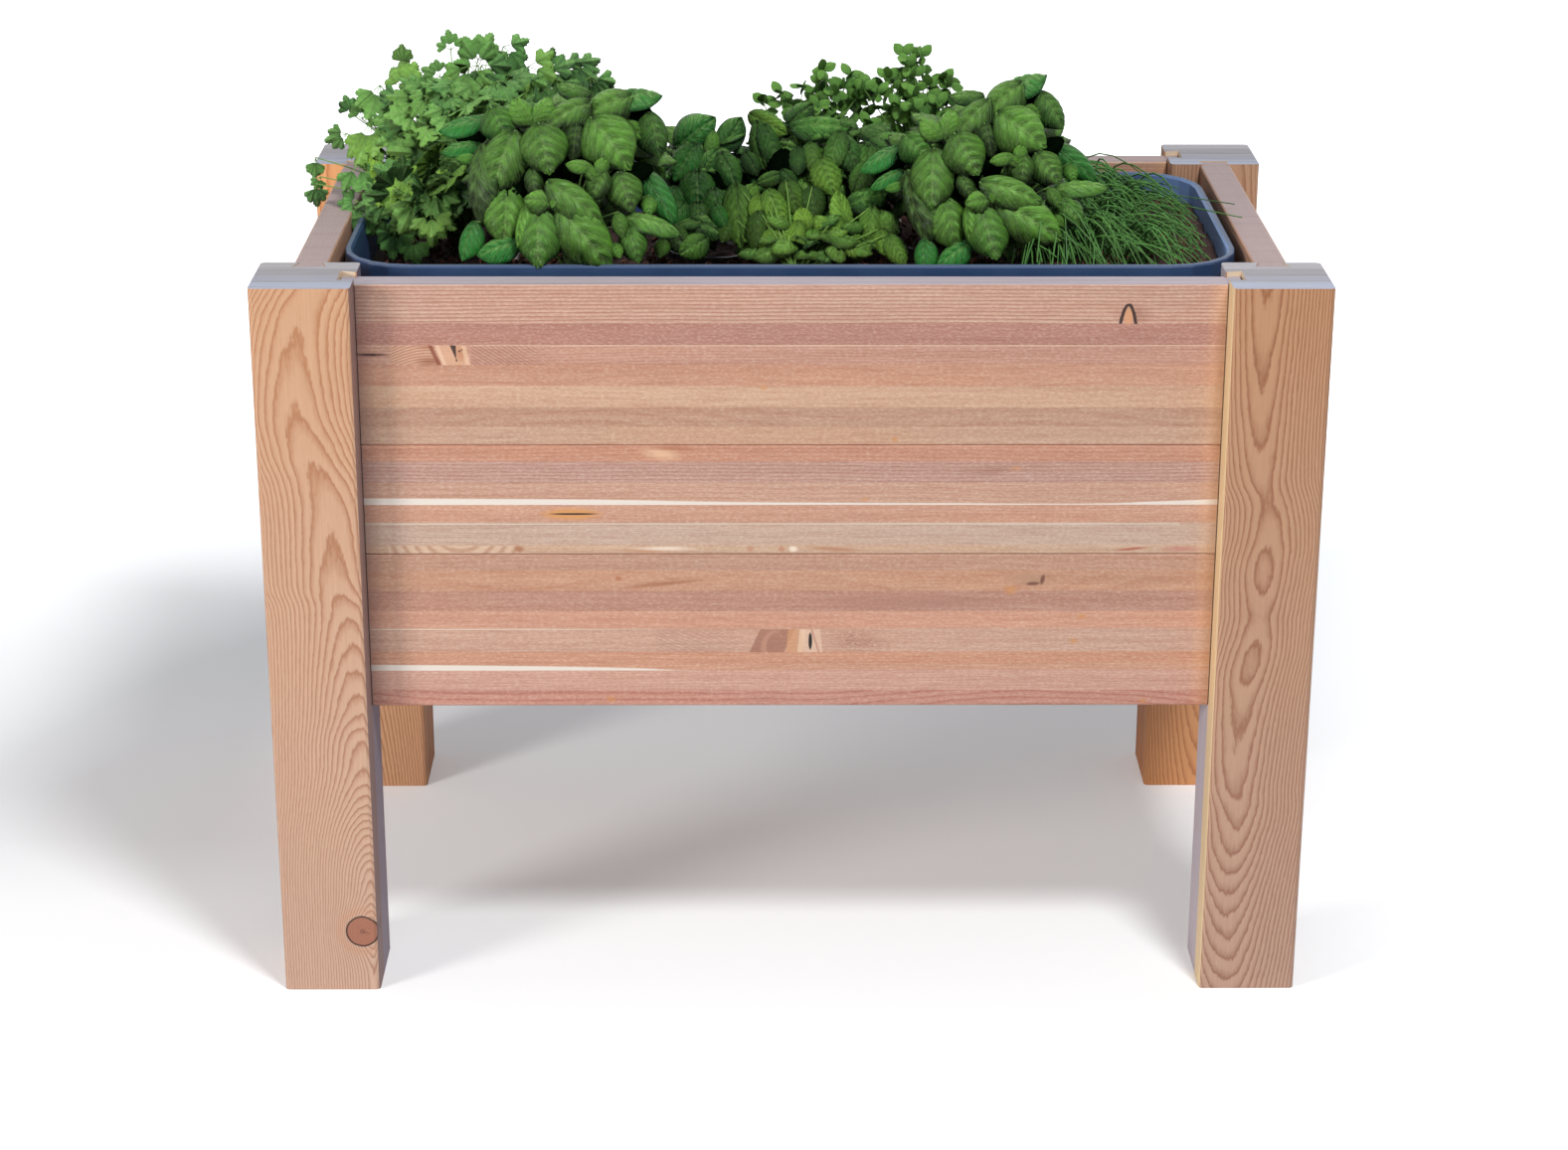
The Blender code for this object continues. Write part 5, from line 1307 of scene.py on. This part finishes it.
# Parsley sprigs that stand out of the mass: right, up, nearer, tip angle, size, breadth, yellow
PARSLEY_SPRIGS = (
    (-18, 90, 0, 100, 20, 1.0, 0.1), (4, 76, 4, 120, 30, 1.0, 0.1), (18, 84, -4, 60, 30, 1.1, 0.2),
    (34, 66, 0, 20, 34, 1.1, 0.1), (48, 74, -6, -40, 32, 1.1, 0.0), (-36, 58, 2, 150, 22, 0.8, 0.1),
    (-68, 58, -10, 96, 36, 0.55, 0.5), (-66, 76, -12, 98, 22, 0.3, 0.2),
    (-94, 28, 0, -110, 36, 0.55, 0.2), (-76, 26, 6, -150, 28, 0.7, 0.0),
    (-108, 22, -6, 100, 22, 0.7, 0.1), (-120, 26, -8, 110, 20, 0.6, 0.0),
    (-133, -6, -10, 196, 23, 0.5, 0.1), (-88, 8, 6, 70, 18, 1.0, 0.1),
    (-102, -16, 12, -104, 46, 0.45, 0.5), (-96, -32, 14, -70, 24, 0.6, 0.3),
    (-48, 38, 10, 130, 26, 0.9, 0.0), (-76, 4, 16, 150, 34, 1.0, 0.2),
    (-153, -38, 0, -94, 20, 0.25, 0.1), (-151, -66, 4, -84, 22, 0.4, 0.0),
    (-150, -54, 2, -110, 14, 0.5, 0.1), (-118, -74, 18, 175, 22, 0.5, 0.0),
    (-106, -92, 28, 190, 26, 0.8, 0.0), (-100, -52, 24, -60, 34, 1.0, 0.1),
    (-78, -58, 34, -100, 44, 1.1, 1.0), (-66, -48, 34, 60, 34, 1.0, 0.9),
    (-16, -62, 44, 0, 22, 1.0, 1.0), (-40, 22, 14, 80, 30, 1.0, 0.3), (-46, 0, 20, -100, 32, 1.1, 0.5),
    (-66, -14, 22, -130, 32, 1.0, 0.1), (-36, -32, 30, -70, 34, 1.1, 0.3),
    (-58, -98, 42, -110, 34, 1.0, 0.1), (-40, -84, 44, -70, 32, 1.0, 0.6),
    (-84, -96, 36, -140, 32, 1.0, 0.1), (-30, -104, 48, -90, 32, 1.0, 0.3),
    (-70, -118, 40, -100, 30, 0.8, 0.0), (-48, -126, 44, -80, 28, 0.5, 0.1),
    (0, 46, 14, -100, 34, 1.1, 0.2), (-14, 30, 16, -130, 34, 1.1, 0.5), (24, 48, 12, -60, 34, 1.1, 0.0),
    (58, 38, 4, -80, 30, 1.1, 0.2), (52, 26, 6, -90, 34, 1.1, 0.1), (76, 60, -14, -20, 34, 1.0, 0.4),
    (92, 66, -20, 20, 30, 1.0, 0.0), (104, 58, -24, -40, 32, 1.0, 0.0),
    (118, 62, -28, -30, 34, 0.8, 0.0), (132, 46, -30, -50, 30, 0.7, 0.0),
    (90, 40, -10, -90, 30, 1.0, 0.1), (74, 24, -4, -100, 30, 1.0, 0.0), (12, 20, 20, -60, 30, 1.0, 0.5),
    (30, 6, 20, -90, 30, 1.0, 0.0),
)

# Leaves of the main mass, and how much larger a sprig grows than its row says
PARSLEY_CROWD = 126
SPRIG_GROWTH = 1.14


def parsley_leaf(plant, place, direction, normal, size, tone, yellow, breadth=1.0):
    """Three toothed leaflets on short stalks; breadth is how far the side ones spread."""
    along, across, out = basis(direction, normal)
    for turn, reach in ((0.0, 1.0), (0.95 * breadth, 0.8), (-0.95 * breadth, 0.8)):
        way = along * math.cos(turn) + across * math.sin(turn)
        foot = place + way * size * 0.22
        plant.stem([place, foot], 0.0005, 0.0004, sides=3, yellow=0.4)
        tilt = out + way * plant.rng.uniform(-0.30, 0.20)
        plant.lobed_leaf(foot, way, tilt, size * 0.74 * reach, tone, yellow)


def parsley_mass(plant, centre, radii, count, lowest, yellows):
    """Leaves that fill an ellipsoid and mostly face outwards and to the front."""
    rng = plant.rng
    for index in range(count):
        lift, azimuth = fan(index, count, lowest)
        inner = rng.uniform(0.50, 1.0)
        flat = around(azimuth)
        outward = flat * math.cos(lift) + Vector((0.0, 0.0, math.sin(lift)))
        place = centre + stretched(outward, radii) * inner
        direction = flat * 0.8 + Vector((0.0, 0.0, rng.uniform(-1.0, 0.7)))
        facing = outward * 0.7 - VIEW_AWAY * 0.7
        facing += Vector((rng.uniform(-0.6, 0.6), 0.0, rng.uniform(-0.1, 0.6)))
        # Painted shade: leaves further in are darker.
        tone = rng.uniform(0.10, 1.0) * (0.10 + 0.90 * inner)
        size = rng.uniform(0.028, 0.041)
        parsley_leaf(plant, place, direction, facing, size, tone, rng.uniform(*yellows) ** 2)
        if index % STEM_EVERY == 0:
            yield place


def add_parsley():
    plant = Foliage("parsley_plant", 31)
    rng = plant.rng
    centre = Vector((-0.324, 0.050, 0.789))
    root = Vector((-0.336, 0.080, 0.664))
    for right, up, nearer, tip, size, breadth, yellow in PARSLEY_SPRIGS:
        place = seen(centre, right, up, nearer)
        direction = pointing(tip, rng.uniform(-0.1, 0.2))
        facing = -VIEW_AWAY + VIEW_UP * rng.uniform(-0.1, 0.5) + VIEW_RIGHT * rng.uniform(-0.4, 0.4)
        base = place - direction.normalized() * size * 0.5 * MM
        tone = rng.uniform(0.35, 1.0)
        parsley_leaf(plant, base, direction, facing, size * SPRIG_GROWTH * MM, tone, yellow, breadth)
        foot = root + jitter(rng, 0.012, 0.012)
        plant.bent_stem(foot, base, 0.0011, 0.0006, sag=0.01, steps=8, yellow=0.5)
    for middle, radii, count, lowest, yellows in (
        (centre + Vector((0.016, 0.0, -0.008)), (0.080, 0.074, 0.070), PARSLEY_CROWD, -0.5, (0.0, 0.6)),
        (Vector((-0.356, 0.004, 0.737)), (0.048, 0.074, 0.036), 40, -0.25, (0.0, 0.9)),
    ):
        for place in parsley_mass(plant, middle, radii, count, lowest, yellows):
            plant.bent_stem(root, place, 0.0011, 0.0007, steps=5, yellow=0.4)
    material = leaf_material(
        "parsley_leaf", (12, 46, 18), (100, 162, 78), (144, 188, 66),
        (168, 204, 126), 4, 0.44, 0.0004,
    )
    plant.make(["parsley"], material)


# Single leaves of the mixed planting in the middle, in the same terms as the basil's
BALM_LEAVES = (
    (-8, 43, 20, -28, 42, 22, 20, 0.55, 0.6), (-16, 22, 26, -84, 48, 24, 24, 0.5, 0.1),
    (-4, 20, 28, -70, 46, 24, -20, 0.45, 0.0), (45, 41, 22, 4, 60, 32, -18, 0.62, 0.0),
    (24, 53, 10, 40, 32, 24, 0, 0.3, 0.0), (51, -12, 46, -70, 40, 31, 0, 0.85, 0.5),
    (57, 14, 40, -110, 42, 26, 20, 0.45, 0.1), (73, 12, 36, -60, 44, 28, -14, 0.4, 0.0),
    (92, 0, 34, -90, 42, 28, 0, 0.5, 0.1), (-24, 2, 34, -60, 26, 18, 0, 0.2, 0.0),
    (14, -16, 44, -50, 26, 18, 0, 0.25, 0.0), (22, 4, 40, -90, 28, 18, 0, 0.3, 0.0),
    (-6, -14, 44, 200, 26, 16, 0, 0.22, 0.1), (36, 8, 38, -80, 30, 22, 0, 0.42, 0.2),
    (90, -34, 52, 20, 42, 30, -10, 0.5, 0.0), (8, -4, 36, -90, 40, 30, 0, -1.0, 0.0),
    (84, -14, 40, -120, 34, 26, 0, 0.4, 0.1), (104, 14, 26, -40, 38, 26, 0, 0.35, 0.0),
)
SALAD_LEAVES = (
    (-37, -52, 62, -86, 62, 31, 10, 0.5, 0.3), (-18, -70, 72, -95, 42, 23, 0, 0.25, 0.2),
    (-19, -44, 70, -112, 24, 16, 0, 1.0, 0.9), (2, -47, 68, -60, 44, 28, -14, 0.85, 0.6),
    (-7, -80, 76, -118, 30, 19, 0, 0.9, 0.8), (8, -80, 78, -126, 34, 21, 0, 0.95, 1.0),
    (20, -72, 80, -100, 26, 17, 0, 0.7, 0.8), (27, -58, 74, 100, 24, 20, 0, 0.9, 1.0),
    (66, -52, 62, 100, 46, 24, 20, 0.9, 0.7), (58, -66, 66, -100, 26, 22, 0, 0.8, 0.6),
    (72, -72, 66, -60, 30, 26, 0, 0.6, 0.4), (46, -62, 68, 140, 24, 18, 0, 0.85, 0.8),
    (92, -62, 58, -100, 40, 24, 0, 0.55, 0.4), (104, -78, 62, -80, 26, 18, 0, 0.7, 0.6),
    (36, -40, 54, -90, 34, 26, 0, 0.25, 0.1), (16, -34, 54, -70, 36, 26, 0, 0.35, 0.3),
    (-48, -66, 62, -110, 26, 20, 0, 0.4, 0.2), (82, -88, 68, -150, 26, 16, 0, 0.6, 0.5),
    (-28, -34, 56, 60, 30, 22, 0, 0.6, 0.4), (36, -76, 80, 90, 17, 17, 0, 1.0, 0.3),
    (118, -86, 66, -60, 34, 22, 0, 0.55, 0.4), (110, -58, 56, 130, 30, 22, 0, 0.5, 0.3),
)


def add_middle():
    material = leaf_material(
        "balm_leaf", (12, 44, 14), (84, 150, 54), (150, 194, 66),
        (160, 200, 110), 6, 0.40, 0.0016,
    )
    plant = Foliage("balm_plant", 41)
    root = Vector((0.039, 0.006, 0.676))
    for leaf in BALM_LEAVES:
        middle_leaf(plant, leaf, toothed, root)
    grow_bush(plant, root, Vector((0.034, 0.024, 0.744)), (0.088, 0.062, 0.066), 110, 0.040, toothed, 0.8,
              0.09, (0.0, 0.6), (0.0, 0.2), veins=7, steps=15, sides=4, front=0.85)
    plant.make(["lemon_balm"], material)

    salad = Foliage("salad_plant", 42)
    root = Vector((0.005, -0.118, 0.678))
    for leaf in SALAD_LEAVES:
        middle_leaf(salad, leaf, toothed, root)
    grow_bush(salad, root, Vector((0.016, -0.088, 0.698)), (0.070, 0.032, 0.034), 40, 0.034, toothed, 0.9,
              0.11, (0.0, 0.6), (0.0, 0.5), lowest=0.1, veins=6, steps=14, sides=4, front=0.8)
    salad.make(["salad_rosette"], material)


def middle_leaf(plant, leaf, shape, root):
    """One leaf placed as the eye meets it, on its own stem from the root."""
    right, up, nearer, tip, length, width, turn, tone, tint = leaf
    rng = plant.rng
    direction = pointing(tip, rng.uniform(-0.1, 0.2))
    facing = Matrix.Rotation(math.radians(turn), 3, direction) @ (VIEW_UP * 0.3 - VIEW_AWAY)
    base = seen(MIDDLE, right, up, nearer) - direction.normalized() * length * MM * 0.5
    plant.leaf(base, direction, facing, length * MM * 1.04, width * MM * 1.06, shape, rng.uniform(0.7, 1.2),
               rng.uniform(0.4, 1.1), 0.10, 6, tone, tint * 0.8, 20, 6)
    if tone > 0.0:
        plant.bent_stem(root, base, 0.0010, 0.0006, steps=5, tone=0.15)


# Oregano shoots: right, up, nearer of each tip, from the middle of each clump
OREGANO_LEFT = (
    (-8, 30, 0), (20, 26, -6), (-30, 12, 4), (4, 4, 8), (26, 0, 4), (-14, -10, 10), (-70, -2, -4),
    (-52, 6, 0), (-40, -14, 6), (14, 12, 0), (-4, 18, 6), (34, 14, -8),
)
OREGANO_RIGHT = (
    (-4, 36, 0), (0, 24, 4), (15, 35, -4), (21, 4, 4), (32, -16, 6), (-20, 12, 2), (-30, -4, 6),
    (10, -8, 10), (-10, -18, 10), (38, 10, -4), (8, 14, 0), (-38, 8, -6),
)


def add_oregano(name, node, centre, root, tips, seed, material):
    plant = Foliage(name, seed)
    rng = plant.rng
    centre = Vector(centre)
    root = Vector(root)
    shoots = [seen(centre, *tip) for tip in tips]
    for index in range(10):
        shoots.append(centre + around(index * GOLDEN_ANGLE, 0.045, 0.035, rng.uniform(-0.055, 0.005)))
    for shoot in shoots:
        foot = root + jitter(rng, 0.012, 0.01)
        route = plant.bent_stem(foot, shoot, 0.0010, 0.0005, sag=0.006, steps=12, yellow=0.35)
        for number, place in enumerate(route[3:]):
            ahead = (route[-1] - route[-2]).normalized()
            turn = number * 1.57 + rng.uniform(-0.3, 0.3)
            size = 0.0220 - 0.0010 * number
            if rng.random() < 0.34:
                continue
            for side in (0.0, math.pi):
                level = around(turn + side)
                way = level + Vector((0.0, 0.0, rng.uniform(-1.2, 0.9)))
                normal = Vector((rng.uniform(-0.8, 0.8), 0.0, rng.uniform(-0.2, 1.0)))
                normal = normal - VIEW_AWAY + level * 0.3
                length = size * rng.uniform(0.8, 1.25)
                plant.leaf(place, way, normal, length, size * 0.72, oval, 0.5, 0.5, 0.0, 3,
                           rng.uniform(0.3, 1.0), rng.uniform(0.0, 0.6), 5, 2)
        for turn in (0.4, 2.5, 4.6):
            way = around(turn, z=rng.uniform(-0.3, 1.4))
            facing = Vector((rng.uniform(-0.7, 0.7), -0.9, rng.uniform(0.0, 1.0)))
            plant.leaf(shoot, way, facing, 0.016, 0.011, oval, 0.5, 0.4, 0.0, 3, 0.9, 0.3, 6, 2)
    plant.make([node], material)


def add_oreganos():
    material = leaf_material(
        "oregano_leaf", (24, 62, 22), (84, 138, 52), (124, 172, 70),
        (150, 190, 104), 3, 0.5, 0.0003,
    )
    add_oregano("oregano_shoots_left", "oregano_left", (0.044, 0.130, 0.803), (0.016, 0.128, 0.680),
                OREGANO_LEFT, 51, material)
    add_oregano("oregano_shoots_right", "oregano_right", (0.122, 0.130, 0.813), (0.143, 0.128, 0.684),
                OREGANO_RIGHT, 52, material)


# Chives: where they stand, which way and how far they arch, and where their tips must stop
CHIVE_COUNT = 370
CHIVE_FEET_X = (0.215, 0.350)
CHIVE_FEET_Y = (-0.110, 0.160)
HANGING_CHIVES = 20
LONE_CHIVE_EVERY = 150
CHIVE_STEPS = 8
CHIVE_HEADING = -52.0
CHIVE_SPREAD = 24.0
CHIVE_REACH = (0.045, 0.120)
CHIVE_HEIGHT = 0.074
CHIVE_SLOPE = 0.28
CHIVE_SLOPE_START = 0.25
CREST_SHARE = 0.35
TIP_LIMIT_X = 0.404
TIP_LIMIT_Y = -0.168
HANGING_LIMIT_Y = -0.178
TUB_EDGE_X = 0.446


def add_chives():
    """Slender blades that rise from the soil, arch over to the front right and hang down."""
    plant = Foliage("chive_blades", 61)
    rng = plant.rng
    for index in range(CHIVE_COUNT):
        foot = Vector((rng.uniform(*CHIVE_FEET_X), rng.uniform(*CHIVE_FEET_Y), 0.0))
        foot.z = soil_height(foot.x, foot.y) - 0.002
        way = around(math.radians(rng.gauss(CHIVE_HEADING, CHIVE_SPREAD)))
        reach = rng.uniform(*CHIVE_REACH)
        crest = foot + way * reach * CREST_SHARE
        height = CHIVE_HEIGHT - CHIVE_SLOPE * max(0.0, foot.x - CHIVE_SLOPE_START)
        crest.z = foot.z + height * rng.uniform(0.45, 1.02)
        tip = foot + way * reach
        tip.x = min(tip.x, TIP_LIMIT_X)
        tip.y = max(tip.y, TIP_LIMIT_Y)
        tip.z = soil_height(tip.x, tip.y) + rng.uniform(0.001, 0.030)
        if index < HANGING_CHIVES:
            foot.x = rng.uniform(0.225, 0.300)
            foot.y = rng.uniform(-0.110, -0.060)
            crest = foot + Vector((rng.uniform(-0.004, 0.012), -0.020, rng.uniform(0.035, 0.060)))
            tip = foot + Vector((rng.uniform(-0.012, 0.030), -0.085, 0.0))
            tip.y = max(tip.y, HANGING_LIMIT_Y)
            tip.z = soil_height(tip.x, tip.y) + rng.uniform(0.004, 0.012)
        elif index % LONE_CHIVE_EVERY == 0:
            tip = Vector((TUB_EDGE_X, rng.uniform(-0.06, 0.05), RIM_TOP + 0.012))
        thick = rng.uniform(0.0010, 0.0015)
        bow = jitter(rng, 0.006, 0.006)
        pull = crest * 2.0 - (foot + tip) * 0.5
        places = []
        for step in range(CHIVE_STEPS + 1):
            share = step / CHIVE_STEPS
            place = foot.lerp(pull, share).lerp(pull.lerp(tip, share), share)
            places.append(place + bow * math.sin(math.pi * share))
        tone = rng.uniform(0.0, 1.0) ** 1.5
        plant.stem(places, thick, thick * 0.45, sides=5, tone=tone, yellow=rng.uniform(0.0, 0.3))
    material = leaf_material(
        "chive_leaf", (4, 22, 12), (70, 136, 60), (104, 160, 60),
        (110, 160, 84), 1, 0.42, 0.0001,
    )
    plant.make(["chives"], material)


def pot_distance(x, y):
    return math.hypot(x - POT_PLACE[0], y - POT_PLACE[1])


def add_soil():
    """The bed of soil: rings from its middle to its edge, then down to a smaller bottom."""
    rings = 90
    around = 300
    points = []
    faces = []
    for ring in range(rings + 1):
        share = max(0.004, ring / rings)
        for step in range(around):
            edge = soil_outline(2.0 * math.pi * step / around)
            x, y = edge.x * share, edge.y * share
            z = soil_height(x, y)
            grit = noise.fractal(Vector((x, y, 0.7)) * 75.0, 0.9, 2.1, 4)
            lumps = noise.noise(Vector((x, y, 5.0)) * 46.0)
            z += grit * 0.0022 + max(0.0, lumps) * 0.004
            if pot_distance(x, y) < POT_RADIUS:
                z -= 0.004
            points.append((x, y, z))
    bottom = SOIL_LOW[2]
    for step in range(around):
        edge = soil_outline(2.0 * math.pi * step / around)
        points.append((edge.x * 0.90, edge.y * 0.88, bottom))
    for ring in range(rings + 1):
        for step in range(around):
            ahead = (step + 1) % around
            first = ring * around
            faces.append((first + step, first + around + step, first + around + ahead, first + ahead))
    faces.append(tuple(reversed(range(around))))
    faces.append(tuple((rings + 1) * around + step for step in reversed(range(around))))
    mesh = bpy.data.meshes.new("potting_soil")
    mesh.from_pydata(points, [], faces)
    mesh.shade_smooth()
    mesh.materials.append(soil_material())
    soil = bpy.data.objects.new("potting_soil", mesh)
    bpy.context.scene.collection.objects.link(soil)
    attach(soil, "tub")
    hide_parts("soil_bed")
    add_crumbs()


def add_crumbs():
    """Loose crumbs, bits of bark and white perlite on the soil."""
    rng = random.Random(71)
    plant = Foliage("soil_crumbs", 71)
    for index in range(CRUMB_TRIES):
        x = rng.uniform(-0.97, 0.97) * SOIL_HALF_X
        y = rng.uniform(-0.96, 0.96) * SOIL_HALF_Y
        reach = soil_outline(math.atan2(y, x)).length - CRUMB_CLEARANCE
        if pot_distance(x, y) < POT_RADIUS + CRUMB_CLEARANCE or math.hypot(x, y) > reach:
            continue
        size = rng.uniform(0.0012, 0.0046)
        white = index % PERLITE_EVERY == 0
        centre = Vector((x, y, soil_height(x, y) + 0.002 + size * 0.4))
        turn = Euler((rng.uniform(0, 6.3), rng.uniform(0, 6.3), rng.uniform(0, 6.3))).to_matrix()
        sides = Vector((size * rng.uniform(1.0, 2.2), size, size * rng.uniform(0.5, 0.9)))
        lump(plant, centre, turn, sides, (0.0 if white else 1.0, rng.random()))
    plant.make(["soil_bed"], crumb_material())


def lump(plant, centre, turn, size, tone):
    """A rough lump of three rings of points."""
    start = len(plant.points)
    for level, reach in ((-1.0, 0.45), (0.0, 1.0), (0.85, 0.55)):
        for step in range(LUMP_SIDES):
            wide = reach * plant.rng.uniform(0.75, 1.15)
            corner = around(step * math.tau / LUMP_SIDES + level, wide, wide, level * 0.8)
            plant.points.append(centre + turn @ stretched(corner, size))
            plant.places.append((0.5, 0.5))
            plant.tones.append(tone)
    for level in range(2):
        for step in range(LUMP_SIDES):
            ahead = (step + 1) % LUMP_SIDES
            low = start + level * LUMP_SIDES
            high = low + LUMP_SIDES
            plant.faces.append([low + step, low + ahead, high + ahead, high + step])
    plant.faces.append([start + step for step in reversed(range(LUMP_SIDES))])
    plant.faces.append([start + 2 * LUMP_SIDES + step for step in range(LUMP_SIDES)])


def soil_material():
    graph = Graph("potting_soil")
    clumps = graph.noise(graph.point, 190.0, 5.0, 0.65)
    grains = graph.noise(graph.point, 900.0, 3.0, 0.6)
    flecks = graph.output("ShaderNodeTexVoronoi", {"Vector": graph.point, "Scale": 330.0}, "Distance")
    colour = graph.mix(clumps, (20, 13, 12), (84, 54, 46))
    red = graph.math("GREATER_THAN", graph.noise(graph.point, 260.0, 2.0), 0.63)
    colour = graph.mix(red * 0.6, colour, (110, 66, 48))
    colour = graph.mix(graph.math("LESS_THAN", flecks, 0.16) * 0.35, colour, (96, 78, 70))
    height = clumps + grains * 0.4
    return graph.finish(colour, 0.95, height, 0.0025)


def crumb_material():
    graph = Graph("soil_crumb")
    dark, shade, _ = graph.marks("tone")
    rough = graph.noise(graph.point, 700.0, 3.0)
    brown = graph.mix(shade, (22, 14, 12), (142, 90, 72))
    brown = graph.mix(rough * 0.5, brown, (60, 40, 32))
    white = graph.mix(rough, (190, 184, 176), (232, 228, 220))
    return graph.finish(graph.mix(dark, white, brown), 0.9, rough, 0.0006)


def plastic_material(name, deep, worn, roughness, inner_wall_light=0.0):
    """Moulded plastic with faint haze; the last argument is how much light is painted on the right end's
    inner wall.
    """
    graph = Graph(name)
    haze = graph.noise(graph.point, 22.0, 3.0)
    speck = graph.noise(graph.point, 900.0, 2.0)
    colour = graph.mix(haze * 0.6, deep, worn)
    colour = graph.mix(graph.top_mask() * 0.2, colour, (150, 160, 175))
    # Painted light: the right end's inner wall, which looks left, turns pale blue.
    right_end = graph.math("GREATER_THAN", graph.split(graph.point)[0], 0.0)
    painted_inner_shading = graph.math("MULTIPLY", graph.facing(0), -inner_wall_light, clamp=True) * right_end
    colour = graph.mix(painted_inner_shading, colour, (136, 166, 216))
    height = speck + haze * 0.3
    return graph.finish(colour, haze * 0.2 + roughness, height, 6e-05)


def screw_material():
    graph = Graph("zinc_screw")
    rings = graph.noise(graph.point, 600.0, 3.0)
    colour = graph.mix(rings, (150, 148, 142), (196, 192, 180))
    return graph.finish(colour, rings * 0.2 + 0.3, rings, 0.0001, metallic=1.0)


def add_planting():
    dress(["liner_tub"], plastic_material("tub_plastic", (32, 56, 92), (58, 82, 118), 0.36, 1.0))
    dress(["nursery_pot"], plastic_material("pot_plastic", (12, 12, 14), (34, 34, 38), 0.35))
    dress([name for name in NODES if "screw" in name], screw_material())
    add_soil()
    add_basils()
    add_parsley()
    add_middle()
    add_oreganos()
    add_chives()


add_planting()
